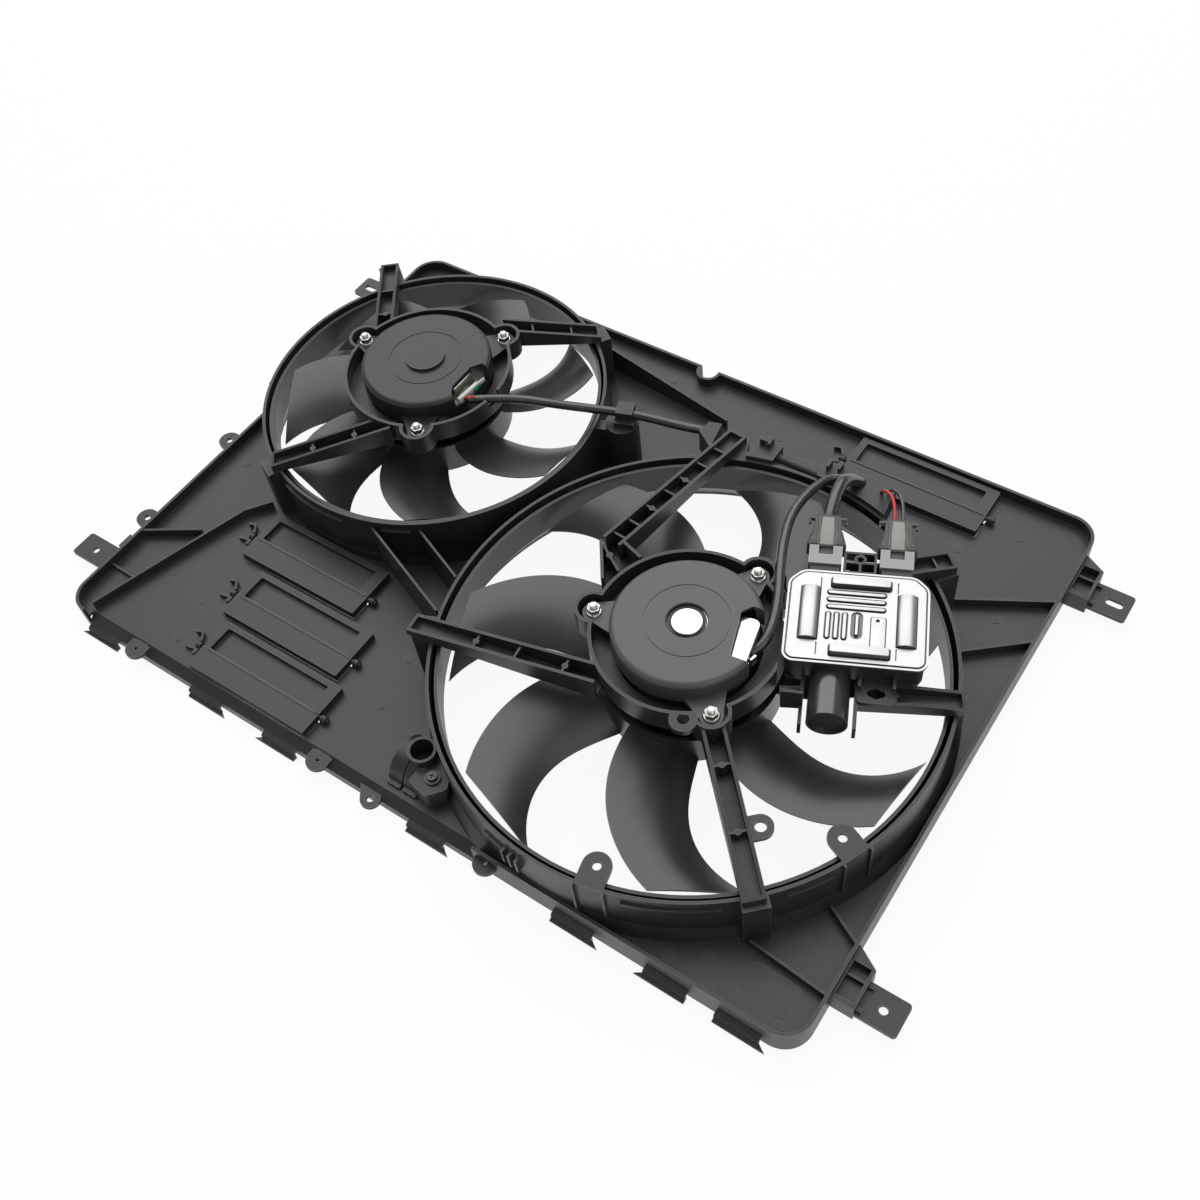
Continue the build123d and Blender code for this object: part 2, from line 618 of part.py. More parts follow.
def fan_wheel(axis, hub_r, hub_top, tip_r, low_curve, high_curve, first):
    """A fan: seven sickle blades lofted through sections, on a cup-shaped hub."""
    sections = []
    for step in range(BLADE_STATIONS):
        radius = hub_r - 4 + (tip_r - hub_r + 4) * step / (BLADE_STATIONS - 1)
        sections.append(
            blade_section(
                radius,
                low_curve[0](radius),
                low_curve[1](radius),
                high_curve[0](radius),
                high_curve[1](radius),
            )
        )
    with BuildPart() as blade:
        loft(sections)
    with BuildPart() as wheel:
        with Locations(at(*axis)):
            with PolarLocations(0, BLADE_COUNT, start_angle=first):
                add(blade.part)
        # Clear the blades' roots out of the hub, then put the hub there
        with BuildSketch(upright(axis)):
            Rectangle(hub_r - 1, 2 * OUTER_RIM, align=(Align.MIN, Align.MIN))
        revolve(axis=spin_axis(axis), mode=Mode.SUBTRACT)
        with BuildSketch(upright(axis)):
            with BuildLine():
                Polyline(
                    (SHAFT_R + 9, HUB_FLOOR + 2),
                    (SHAFT_R + 13, HUB_FLOOR),
                    (hub_r - 6, HUB_FLOOR),
                    (hub_r, HUB_FLOOR + 6),
                    (hub_r, hub_top),
                    (hub_r - HUB_SHEET, hub_top),
                    (hub_r - HUB_SHEET, HUB_FLOOR + 7),
                    (hub_r - 7, HUB_FLOOR + HUB_SHEET),
                    (SHAFT_R + 14, HUB_FLOOR + HUB_SHEET),
                    (SHAFT_R + 9, HUB_FLOOR + 9),
                    (SHAFT_R, HUB_FLOOR + 9),
                    (SHAFT_R, HUB_FLOOR + 2),
                    close=True,
                )
            make_face()
        revolve(axis=spin_axis(axis))
        # Stiffening ribs inside the hub's floor
        with Locations(at(*axis)):
            with PolarLocations((hub_r + SHAFT_R + 9) / 2 - 1, BLADE_COUNT, start_angle=first):
                with Locations((0, 0, HUB_FLOOR + HUB_SHEET + 1)):
                    Box(hub_r - SHAFT_R - 18, 1.8, 3.4)
    return wheel


def curve(base, slope, bend, middle, span):
    """A quadratic in the scaled radius, as the blade edges follow."""
    return lambda radius: (
        base + slope * (radius - middle) / span + bend * ((radius - middle) / span) ** 2
    )


large_fan = fan_wheel(
    LARGE_AXIS,
    LARGE_HUB_R,
    LARGE_HUB_TOP,
    LARGE_INNER_R - BLADE_TIP_GAP,
    (curve(0.0, 13.5, 3.1, 130, 50), curve(55.9, -0.9, 0.4, 130, 50)),
    (curve(26.5, 5.2, 7.5, 130, 50), curve(37.6, 1.3, -0.6, 130, 50)),
    121.4,
)
keep(large_fan, "large_fan")
small_fan = fan_wheel(
    SMALL_AXIS,
    SMALL_HUB_R,
    SMALL_HUB_TOP,
    SMALL_INNER_R - BLADE_TIP_GAP,
    (curve(0.0, 13.5, 4.9, 100, 40), curve(57.2, 0.6, -0.5, 100, 40)),
    (curve(35.7, 6.3, 4.9, 100, 40), curve(33.5, 0.1, 0.2, 100, 40)),
    177.3,
)
keep(small_fan, "small_fan")


def channel(start, end, root_top, width=SPOKE_WIDTH, end_top=SPOKE_END_TOP, end_floor=SPOKE_END_FLOOR):
    """A hollow spoke, open on top, that falls from the carrier to the ring."""
    plane, length = along(start, end)
    with BuildSketch(plane) as side:
        with BuildLine():
            Polyline(
                (0, SPOKE_ROOT_FLOOR - 2),
                (length, end_floor),
                (length, end_top),
                (0, root_top),
                close=True,
            )
        make_face()
    extrude(side.sketch, amount=width / 2, both=True)


def channel_pocket(start, end, root_top, width=SPOKE_WIDTH, closed=SPOKE_SHEET):
    """The trough of a hollow spoke, cut out of it."""
    plane, length = along(start, end)
    with BuildSketch(plane) as side:
        with BuildLine():
            Polyline(
                (-6, SPOKE_ROOT_FLOOR),
                (0, SPOKE_ROOT_FLOOR),
                (length - closed, SPOKE_END_FLOOR + SPOKE_SHEET),
                (length - closed, SPOKE_END_TOP + 1),
                (0, root_top + 1),
                (-6, root_top + 1),
                close=True,
            )
        make_face()
    extrude(side.sketch, amount=width / 2 - SPOKE_SHEET, both=True, mode=Mode.SUBTRACT)


def cross_ribs(start, end, shares, root_top, width=SPOKE_WIDTH):
    """Thin ribs across a spoke's trough, each with a round boss on it."""
    turn = degrees(atan2(end[1] - start[1], end[0] - start[0]))
    for share, boss in shares:
        x = start[0] + (end[0] - start[0]) * share
        y = start[1] + (end[1] - start[1]) * share
        low = SPOKE_ROOT_FLOOR + (SPOKE_END_FLOOR - SPOKE_ROOT_FLOOR) * share
        high = root_top + (SPOKE_END_TOP - root_top) * share - 2.2
        with BuildSketch(Plane.XY.offset(low)) as foot:
            with Locations(at(x, y)):
                Rectangle(1.6, width - 1, rotation=turn)
                if boss:
                    Circle(2.4)
        extrude(foot.sketch, amount=high - low)


def carrier_body(axis, top, ears, spokes):
    """The motor carrier's ring with bulges round the ears, its floor and hollow spokes."""
    inner = CARRIER_R - CARRIER_WALL
    with BuildPart() as body:
        for start, end, shares in spokes:
            channel(start, end, top)
        for start, end, shares in spokes:
            channel_pocket(start, end, top)
        for start, end, shares in spokes:
            cross_ribs(start, end, shares, top)
        with BuildSketch(Plane.XY.offset(CARRIER_FLOOR)):
            with Locations(at(*axis)):
                Circle(CARRIER_R)
            for angle in ears:
                with Locations(polar(axis, EAR_PITCH_R, angle)[:2]):
                    Circle(EAR_PAD_R + CARRIER_WALL + 1)
        extrude(amount=top - CARRIER_FLOOR)
        with BuildSketch(Plane.XY.offset(CARRIER_FLOOR + SPOKE_SHEET)):
            with Locations(at(*axis)):
                Circle(inner)
            for angle in ears:
                with Locations(polar(axis, EAR_PITCH_R, angle)[:2]):
                    Circle(EAR_PAD_R + 1)
        extrude(amount=top, mode=Mode.SUBTRACT)
        with BuildSketch(Plane.XY.offset(CARRIER_FLOOR)):
            with Locations(at(*axis)):
                Circle(CAN_R + 4.5)
        extrude(amount=SPOKE_SHEET, mode=Mode.SUBTRACT)
        # Pads under the motor's ears
        pad_top = top - EAR_UNDER_DROP
        for angle in ears:
            with BuildSketch(Plane.XY.offset(CARRIER_FLOOR)):
                with Locations(polar(axis, EAR_PITCH_R, angle)[:2]):
                    Circle(7.5)
            extrude(amount=pad_top - CARRIER_FLOOR)
            with BuildSketch(Plane.XY.offset(CARRIER_FLOOR)):
                with Locations(polar(axis, EAR_PITCH_R, angle)[:2]):
                    Circle(STUD_R + 0.05)
            extrude(amount=pad_top - CARRIER_FLOOR, mode=Mode.SUBTRACT)
    return body


def clear_rim(axis, inner_r, outer_r):
    """Cut a carrier clear of the ring's two walls, where its spokes cross them."""
    with BuildSketch(upright(axis)) as section:
        with BuildLine():
            Polyline(
                (inner_r - RING_CLEARANCE, SPOKE_END_FLOOR - 4),
                (outer_r + 40, SPOKE_END_FLOOR - 4),
                (outer_r + 40, OUTER_RIM),
                (inner_r - RING_CLEARANCE, OUTER_RIM),
                close=True,
            )
        make_face()
    revolve(section.sketch, axis=spin_axis(axis), mode=Mode.SUBTRACT)


module_plane = Plane(
    origin=at(*MODULE_AXIS, MODULE_FLOOR),
    x_dir=(cos(radians(MODULE_TURN)), sin(radians(MODULE_TURN)), 0),
    z_dir=(0, 0, 1),
)

# Large carrier. The top spoke leaves the ring at a corner and then runs up to the rim.
LARGE_SPOKES = (
    ((455, 132.6), (295.5, 111.6), ((0.17, 1), (0.42, 0), (0.64, 1))),
    ((538, 145.5), (626.5, 54.5), ((0.28, 1), (0.64, 1))),
    ((396.5, 236), (410, 398.5), ((0.06, 0), (0.17, 0), (0.3, 1), (0.44, 0), (0.56, 1), (0.7, 0), (0.84, 0))),
    ((566, 192), (675.5, 258.5), ((0.62, 1),)),
    ((520, 260), (614.5, 367), ((0.9, 0),)),
)
large_carrier_body = carrier_body(LARGE_AXIS, LARGE_CARRIER_TOP, LARGE_EAR_ANGLES, LARGE_SPOKES)
with BuildPart() as large_motor_carrier:
    add(large_carrier_body.part)
    # Web from the ring out to the top spoke's corner
    with BuildSketch(Plane.XY.offset(SPOKE_ROOT_FLOOR - 2)):
        with BuildLine():
            Polyline(
                at(388.5, 232)[:2],
                at(404, 238)[:2],
                at(428, 238)[:2],
                at(417.5, 205)[:2],
                at(410, 203)[:2],
                close=True,
            )
        make_face()
    extrude(amount=SPOKE_SHEET)
    rib((389, 233), (410.5, 203), SPOKE_ROOT_FLOOR - 2, LARGE_CARRIER_TOP, SPOKE_SHEET)
    rib((404.5, 240), (424, 234), SPOKE_ROOT_FLOOR - 2, LARGE_CARRIER_TOP, SPOKE_SHEET)
    rib((389, 233), (416, 216), SPOKE_ROOT_FLOOR - 2, LARGE_CARRIER_TOP - 2, 1.6)
    with BuildSketch(Plane.XY.offset(SPOKE_ROOT_FLOOR - 2)):
        with Locations(at(402, 225)):
            Circle(2.6)
    extrude(amount=LARGE_CARRIER_TOP - SPOKE_ROOT_FLOOR)
    # Room for the control module and its sockets, and the platform they stand on
    with BuildSketch(module_plane):
        with Locations((0, 4)):
            Rectangle(MODULE_LENGTH + 8, MODULE_WIDTH + 56)
    extrude(amount=2 * LARGE_CARRIER_TOP, mode=Mode.SUBTRACT)
    with BuildSketch(module_plane.offset(-PLATFORM)):
        RectangleRounded(MODULE_LENGTH, MODULE_WIDTH - 2, 10)
        Rectangle(56, 34, mode=Mode.SUBTRACT)
    extrude(amount=PLATFORM)
    with BuildSketch(module_plane.offset(-3 * PLATFORM)):
        RectangleRounded(MODULE_LENGTH, MODULE_WIDTH - 2, 10)
        RectangleRounded(
            MODULE_LENGTH - 2 * SHEET, MODULE_WIDTH - 2 - 2 * SHEET, 10 - SHEET, mode=Mode.SUBTRACT
        )
    extrude(amount=2 * PLATFORM)
    # Cradle round the canister: the lower right spoke ends on its two side walls
    with BuildSketch(module_plane.offset(-13)):
        with Locations((CANISTER_X, -(MODULE_WIDTH + CRADLE_REACH) / 2 + 2)):
            Rectangle(CRADLE_SPAN + 2 * SHEET, CRADLE_REACH + 4)
    extrude(amount=13)
    with BuildSketch(module_plane.offset(-20)):
        with Locations((CANISTER_X, -(MODULE_WIDTH + CRADLE_REACH) / 2)):
            Rectangle(CRADLE_SPAN, CRADLE_REACH + 10)
    extrude(amount=40, mode=Mode.SUBTRACT)
    with BuildSketch(Plane.XY.offset(LARGE_CARRIER_TOP - 5)):
        with Locations(polar(LARGE_AXIS, 75, -60.2)[:2]):
            Circle(10)
            Circle(4.3, mode=Mode.SUBTRACT)
    extrude(amount=5)
    lug((605.2, 98.6), 9.0, 4.2, (598.7, 92.3), 76.0, 79.5)
    # The ring's inside and both rims stay clear
    with BuildSketch(Plane.XY.offset(CARRIER_FLOOR + SPOKE_SHEET)):
        with Locations(at(*LARGE_AXIS)):
            Circle(CARRIER_R - CARRIER_WALL)
    extrude(amount=40, mode=Mode.SUBTRACT)
    for ear_angle in LARGE_EAR_ANGLES:
        with BuildSketch(Plane.XY.offset(CARRIER_FLOOR)):
            with Locations(polar(LARGE_AXIS, EAR_PITCH_R, ear_angle)[:2]):
                Circle(7.5)
                Circle(STUD_R + 0.05, mode=Mode.SUBTRACT)
        extrude(amount=LARGE_CARRIER_TOP - EAR_UNDER_DROP - CARRIER_FLOOR)
    clear_rim(LARGE_AXIS, LARGE_INNER_R, LARGE_OUTER_R)
keep(large_motor_carrier, "large_motor_carrier")

SMALL_SPOKES = (
    ((90, 333), (17, 423), ((0.25, 1), (0.6, 0))),
    ((180, 389), (242, 443.5), ((0.3, 0), (0.7, 0))),
    ((166, 250), (87, 180.5), ((0.3, 1), (0.65, 1))),
)
small_carrier_body = carrier_body(SMALL_AXIS, SMALL_CARRIER_TOP, SMALL_EAR_ANGLES, SMALL_SPOKES)
with BuildPart() as small_motor_carrier:
    add(small_carrier_body.part)
    with BuildSketch(Plane.XY.offset(CARRIER_FLOOR + SPOKE_SHEET)):
        with Locations(at(*SMALL_AXIS)):
            Circle(CARRIER_R - CARRIER_WALL)
    extrude(amount=40, mode=Mode.SUBTRACT)
    for ear_angle in SMALL_EAR_ANGLES:
        with BuildSketch(Plane.XY.offset(CARRIER_FLOOR)):
            with Locations(polar(SMALL_AXIS, EAR_PITCH_R, ear_angle)[:2]):
                Circle(7.5)
                Circle(STUD_R + 0.05, mode=Mode.SUBTRACT)
        extrude(amount=SMALL_CARRIER_TOP - EAR_UNDER_DROP - CARRIER_FLOOR)
    # Notch for the motor's lead
    with BuildSketch(Plane.XY.offset(SMALL_CARRIER_TOP - 8.5)):
        with Locations(polar(SMALL_AXIS, CARRIER_R, -1)[:2]):
            Rectangle(10, 15, rotation=-1)
    extrude(amount=10, mode=Mode.SUBTRACT)
    clear_rim(SMALL_AXIS, SMALL_INNER_R, SMALL_OUTER_R)
keep(small_motor_carrier, "small_motor_carrier")


def motor(name, axis, ears, carrier_top, cover_top):
    """A brushed motor: cover with three ears, can, magnets, brushes, rotor and fasteners."""
    ear_under = carrier_top - EAR_UNDER_DROP
    ear_over = ear_under + 3.0
    magnet_low = CAN_FLOOR + 8
    magnet_high = ear_under - 14
    with BuildPart() as cover:
        with BuildSketch(Plane.XY.offset(ear_under)):
            with Locations(at(*axis)):
                Circle(COVER_R)
            for angle in ears:
                turn = radians(angle)
                side = Plane(origin=at(*axis), x_dir=(cos(turn), sin(turn), 0), z_dir=(0, 0, 1))
                with BuildLine(side):
                    Polyline((30, -24), (EAR_PITCH_R, -8.5), (EAR_PITCH_R, 8.5), (30, 24), close=True)
                make_face()
                with Locations(polar(axis, EAR_PITCH_R, angle)[:2]):
                    Circle(8.5)
        extrude(amount=3.0)
        with BuildSketch(upright(axis)):
            with BuildLine():
                Polyline(
                    (0, ear_under),
                    (COVER_R, ear_under),
                    (COVER_R, cover_top),
                    (0, cover_top),
                    close=True,
                )
            make_face()
        revolve(axis=spin_axis(axis))
        fillet(cover.faces().sort_by(Axis.Z)[-1].edges(), radius=COVER_ROUND)
        with BuildSketch(upright(axis)):
            with BuildLine():
                Polyline(
                    (0, ear_under - 1),
                    (CAN_R, ear_under - 1),
                    (CAN_R, cover_top - 5),
                    (CAN_R - 2.5, cover_top - CAN_SHEET),
                    (0, cover_top - CAN_SHEET),
                    close=True,
                )
            make_face()
        revolve(axis=spin_axis(axis), mode=Mode.SUBTRACT)
        for angle in ears:
            with BuildSketch(Plane.XY.offset(ear_under - 1)):
                with Locations(polar(axis, EAR_PITCH_R, angle)[:2]):
                    Circle(STUD_R + 0.1)
            extrude(amount=6, mode=Mode.SUBTRACT)
        # Fine groove on the top
        with BuildSketch(Plane.XY.offset(cover_top - 0.6)):
            with Locations(at(*axis)):
                Circle(31.5)
                Circle(30.5, mode=Mode.SUBTRACT)
        extrude(amount=1, mode=Mode.SUBTRACT)
    with BuildPart() as can:
        with BuildSketch(upright(axis)):
            with BuildLine():
                Polyline(
                    (11, CAN_FLOOR),
                    (CAN_R - 3, CAN_FLOOR),
                    (CAN_R, CAN_FLOOR + 3),
                    (CAN_R, ear_under),
                    (CAN_R - CAN_SHEET, ear_under),
                    (CAN_R - CAN_SHEET, CAN_FLOOR + 4),
                    (CAN_R - 4, CAN_FLOOR + CAN_SHEET),
                    (11, CAN_FLOOR + CAN_SHEET),
                    close=True,
                )
            make_face()
        revolve(axis=spin_axis(axis))
    with BuildPart() as magnets:
        with BuildSketch(Plane.XY.offset(magnet_low)):
            with Locations(at(*axis)):
                Circle(CAN_R - CAN_SHEET)
                Circle(CAN_R - CAN_SHEET - 6, mode=Mode.SUBTRACT)
                with PolarLocations(CAN_R - 4, 4, start_angle=45):
                    Rectangle(16, 14, mode=Mode.SUBTRACT)
        extrude(amount=magnet_high - magnet_low)
    with BuildPart() as armature:
        with BuildSketch(Plane.XY.offset(magnet_low + 2)):
            with Locations(at(*axis)):
                Circle(CAN_R - CAN_SHEET - 7.2)
                with PolarLocations(CAN_R - CAN_SHEET - 11, 12):
                    SlotOverall(9, 4, mode=Mode.SUBTRACT)
                Circle(SHAFT_R, mode=Mode.SUBTRACT)
        extrude(amount=magnet_high - magnet_low - 4)
    commutator_low = magnet_high
    with BuildPart() as commutator:
        with BuildSketch(Plane.XY.offset(commutator_low)):
            with Locations(at(*axis)):
                Circle(13)
                with PolarLocations(13, 12):
                    Rectangle(1.6, 0.8, mode=Mode.SUBTRACT)
                Circle(SHAFT_R, mode=Mode.SUBTRACT)
        extrude(amount=12)
    with BuildPart() as card:
        with BuildSketch(Plane.XY.offset(ear_under + 0.2)):
            with Locations(at(*axis)):
                Circle(CAN_R - 0.6)
                Circle(16, mode=Mode.SUBTRACT)
        extrude(amount=2.0)
    with BuildPart() as brushes:
        with Locations(at(*axis, commutator_low + 6)):
            with PolarLocations(21.2, 4):
                Box(16, 8, 8)
        # The boxes end on the commutator with a running gap
        with BuildSketch(Plane.XY.offset(commutator_low)):
            with Locations(at(*axis)):
                Circle(13.3)
        extrude(amount=12, mode=Mode.SUBTRACT)
        with Locations(at(*axis, commutator_low + 12)):
            with PolarLocations(24, 4):
                Box(8, 5, ear_under + 0.2 - commutator_low - 10, align=(Align.CENTER, Align.CENTER, Align.MIN))
        with BuildSketch(Plane.XY.offset(ear_under + 0.2)):
            with Locations(at(*axis)):
                Circle(CAN_R)
        extrude(amount=10, mode=Mode.SUBTRACT)
    bearing_low = cover_top - BEARING_DROP
    with BuildPart() as bearings:
        with BuildSketch(upright(axis)):
            with Locations((SHAFT_R + SHAFT_FIT, CAN_FLOOR - 3)):
                Rectangle(11 - SHAFT_R - SHAFT_FIT, 9, align=(Align.MIN, Align.MIN))
            with Locations((SHAFT_R + SHAFT_FIT, bearing_low)):
                Rectangle(11 - SHAFT_R - SHAFT_FIT, 9, align=(Align.MIN, Align.MIN))
        revolve(axis=spin_axis(axis))
    with BuildPart() as shaft:
        with BuildSketch(upright(axis)):
            with Locations((0, HUB_FLOOR - 4)):
                Rectangle(SHAFT_R, bearing_low + 8.4 - HUB_FLOOR + 4, align=(Align.MIN, Align.MIN))
        revolve(axis=spin_axis(axis))
    with BuildPart() as nut:
        with BuildSketch(Plane.XY.offset(HUB_FLOOR - 3)):
            with Locations(at(*axis)):
                RegularPolygon(7.5, 6)
                Circle(SHAFT_R, mode=Mode.SUBTRACT)
        extrude(amount=5.0)
    with BuildPart() as studs:
        for angle in ears:
            with BuildSketch(Plane.XY.offset(CARRIER_FLOOR + 1)):
                with Locations(polar(axis, EAR_PITCH_R, angle)[:2]):
                    Circle(STUD_R)
            extrude(amount=ear_over + 8 - CARRIER_FLOOR)
    with BuildPart() as nuts:
        for angle in ears:
            with BuildSketch(Plane.XY.offset(ear_over)):
                with Locations(polar(axis, EAR_PITCH_R, angle)[:2]):
                    Circle(6.4)
                    Circle(STUD_R + 0.05, mode=Mode.SUBTRACT)
            extrude(amount=1.2)
            with BuildSketch(Plane.XY.offset(ear_over + 1.2)):
                with Locations(polar(axis, EAR_PITCH_R, angle)[:2]):
                    RegularPolygon(5.4, 6, rotation=angle)
                    Circle(STUD_R + 0.05, mode=Mode.SUBTRACT)
            extrude(amount=4.6)
    keep(can, f"{name}_motor_can")
    keep(magnets, f"{name}_motor_magnets")
    keep(armature, f"{name}_motor_armature")
    keep(commutator, f"{name}_motor_commutator")
    keep(brushes, f"{name}_motor_brushes")
    keep(bearings, f"{name}_motor_bearings")
    keep(shaft, f"{name}_motor_shaft")
    keep(nut, f"{name}_fan_nut")
    keep(studs, f"{name}_motor_studs")
    keep(nuts, f"{name}_motor_nuts")
    return cover, card


large_cover, large_card = motor(
    "large", LARGE_AXIS, LARGE_EAR_ANGLES, LARGE_CARRIER_TOP, LARGE_COVER_TOP
)
small_cover, small_card = motor(
    "small", SMALL_AXIS, SMALL_EAR_ANGLES, SMALL_CARRIER_TOP, SMALL_COVER_TOP
)

# The large motor's cover has a bearing seat with a plated cup and a cut-out on the right
CUP_R = 15.5
with BuildPart() as large_motor_cover:
    add(large_cover.part)
    with BuildSketch(Plane.XY.offset(LARGE_COVER_TOP - CAN_SHEET - 1)):
        with Locations(at(*LARGE_AXIS)):
            Circle(CUP_R)
    extrude(amount=10, mode=Mode.SUBTRACT)
    with BuildSketch(Plane.XY.offset(LARGE_COVER_TOP - 20)):
        with BuildLine(Plane(origin=at(*LARGE_AXIS), x_dir=(1, 0, 0), z_dir=(0, 0, 1))):
            Polyline((29, 26), (34, 34), (44, 36), (62, 30), (62, -6), (50, -9), (41, -10), close=True)
        make_face()
    extrude(amount=24, mode=Mode.SUBTRACT)
keep(large_motor_cover, "large_motor_cover")
keep(large_card, "large_motor_brush_card")
with BuildPart() as large_motor_bearing_cup:
    with BuildSketch(upright(LARGE_AXIS)):
        with BuildLine():
            Polyline(
                (BEARING_R, LARGE_COVER_TOP - BEARING_DROP),
                (SEAT_R, LARGE_COVER_TOP - BEARING_DROP),
                (SEAT_R, LARGE_COVER_TOP - 5),
                (CUP_R, LARGE_COVER_TOP - 4),
                (CUP_R, LARGE_COVER_TOP - 0.4),
                (CUP_R - 2, LARGE_COVER_TOP - 0.4),
                (CUP_R - 3.2, LARGE_COVER_TOP - 2),
                (0, LARGE_COVER_TOP - 2),
                (0, LARGE_COVER_TOP - 4.6),
                (BEARING_R, LARGE_COVER_TOP - 4.6),
                close=True,
            )
        make_face()
    revolve(axis=spin_axis(LARGE_AXIS))
keep(large_motor_bearing_cup, "large_motor_bearing_cup")

# The small motor's cover has a raised boss and a cut-out that bares the brush card
with BuildPart() as small_motor_cover:
    add(small_cover.part)
    with BuildSketch(Plane.XY.offset(SMALL_COVER_TOP - CAN_SHEET)):
        with Locations(at(*SMALL_AXIS)):
            Circle(16.8)
    extrude(amount=4.7)
    with BuildSketch(Plane.XY.offset(SMALL_COVER_TOP - BEARING_DROP)):
        with Locations(at(*SMALL_AXIS)):
            Circle(SEAT_R)
            Circle(BEARING_R, mode=Mode.SUBTRACT)
    extrude(amount=BEARING_DROP - CAN_SHEET)
    with BuildSketch(Plane.XY.offset(SMALL_COVER_TOP - CAN_SHEET)):
        with Locations(at(*SMALL_AXIS)):
            Circle(BEARING_R)
    extrude(amount=2.6, mode=Mode.SUBTRACT)
    with BuildSketch(Plane.XY.offset(SMALL_COVER_TOP - 19)):
        with BuildLine(Plane(origin=at(*SMALL_AXIS), x_dir=(1, 0, 0), z_dir=(0, 0, 1))):
            Polyline((47, 18), (41, 10), (41, -16), (47, -25), (64, -22), (64, 16), close=True)
        make_face()
    extrude(amount=24, mode=Mode.SUBTRACT)
keep(small_motor_cover, "small_motor_cover")
keep(small_card, "small_motor_brush_card")

# Control module: case with sockets, cover, board and lying canister
CASE_HEIGHT = MODULE_TOP - MODULE_FLOOR


def module_outline(grow=0.0):
    """The module's plan: chamfers at the plug side, round corners at the canister side."""
    half_x = MODULE_LENGTH / 2 + grow
    half_y = MODULE_WIDTH / 2 + grow
    with BuildLine() as outline:
        FilletPolyline(
            (-half_x, -half_y),
            (half_x, -half_y),
            (half_x, half_y - 13),
            (half_x - 8.5, half_y),
            (-half_x + 8.5, half_y),
            (-half_x, half_y - 13),
            radius=[7, 6, 5, 5, 5, 7],
            close=True,
        )
    make_face(outline.edges())


with BuildPart() as module_case:
    with BuildSketch(module_plane):
        module_outline()
    extrude(amount=CASE_HEIGHT)
    with BuildSketch(module_plane.offset(SHEET)):
        module_outline(-SHEET)
    extrude(amount=CASE_HEIGHT, mode=Mode.SUBTRACT)
    # Foot with a keyhole, on two gussets
    with BuildSketch(module_plane):
        with Locations((FOOT_X, -MODULE_WIDTH / 2 - 9.5)):
            RectangleRounded(26, 21, 3)
        with Locations((FOOT_X, -MODULE_WIDTH / 2 - 12)):
            SlotOverall(13, 6, mode=Mode.SUBTRACT)
            Circle(4.5, mode=Mode.SUBTRACT)
        module_outline()
    extrude(amount=SHEET)
    for gusset_x in (FOOT_X - 11.8, FOOT_X + 11.8):
        with BuildSketch(module_plane):
            with Locations((gusset_x, -MODULE_WIDTH / 2 - 5)):
                Rectangle(2, 11)
        extrude(amount=9)
    # Necks behind the two sockets, and the lattice between them
    with BuildSketch(module_plane.offset(4)):
        with Locations(
            (LEFT_SOCKET_X, MODULE_WIDTH / 2 + 5), (RIGHT_SOCKET_X, MODULE_WIDTH / 2 + 5)
        ):
            Rectangle(SOCKET_WIDE - 3, 11)
    extrude(amount=12)
    with BuildSketch(module_plane.offset(4)):
        for bar_y in (8.0, 17.0, 26.0):
            with Locations((0, MODULE_WIDTH / 2 + bar_y)):
                Rectangle(24, 1.8)
        for bar_x in (-11.0, 0.0, 11.0):
            with Locations((bar_x, MODULE_WIDTH / 2 + 13)):
                Rectangle(1.8, 27.8)
        with Locations((0, MODULE_WIDTH / 2 + 20)):
            Circle(4.5)
            Circle(2.4, mode=Mode.SUBTRACT)
    extrude(amount=9)
keep(module_case, "module_case")

with BuildPart() as module_board:
    with BuildSketch(module_plane.offset(6)):
        module_outline(-SHEET - 0.1)
    extrude(amount=1.6)
    with BuildSketch(module_plane.offset(SHEET)):
        with Locations((-30, -20), (30, -20), (-30, 20), (30, 20)):
            Circle(3)
    extrude(amount=6 - SHEET)
keep(module_board, "module_board")

cover_plane = module_plane.offset(CASE_HEIGHT)
with BuildPart() as module_cover:
    with BuildSketch(cover_plane):
        module_outline(2.0)
    extrude(amount=COVER_FLANGE)
    with BuildSketch(cover_plane.offset(COVER_FLANGE)):
        module_outline(-1.2)
    extrude(amount=COVER_PRESS - COVER_FLANGE)
    # Embossed side bars, end bars, beads and the plain rectangle
    emboss = cover_plane.offset(COVER_PRESS)
    with BuildSketch(emboss):
        with Locations((-37.5, -4), (37.5, 2)):
            RectangleRounded(12.5, 42, 3)
    extrude(amount=2.4)
    with BuildSketch(emboss):
        with Locations((0, 31), (4, -31)):
            RectangleRounded(42, 7, 2)
    extrude(amount=2.0)
    with BuildSketch(emboss):
        for bead in range(4):
            with Locations((-1, 21.5 - 4.8 * bead)):
                SlotOverall(40, 2.4)
        for bead in range(3):
            with Locations((-18 + 5.8 * bead, -12)):
                SlotOverall(19, 2.4, rotation=90)
    extrude(amount=0.9)
    with BuildSketch(emboss):
        with Locations((14.5, -12)):
            Rectangle(10, 21)
    extrude(amount=0.5)
    # Long slot beside the beads, through the pressing
    with BuildSketch(emboss.offset(-0.8)):
        with Locations((2.5, -12)):
            SlotOverall(18, 3.6, rotation=90)
    extrude(amount=2, mode=Mode.SUBTRACT)
    # Hollow underneath, so that it sits over the case as a pressing
    with BuildSketch(cover_plane):
        module_outline(-SHEET - 0.6)
    extrude(amount=COVER_PRESS - 1.5, mode=Mode.SUBTRACT)
keep(module_cover, "module_cover")

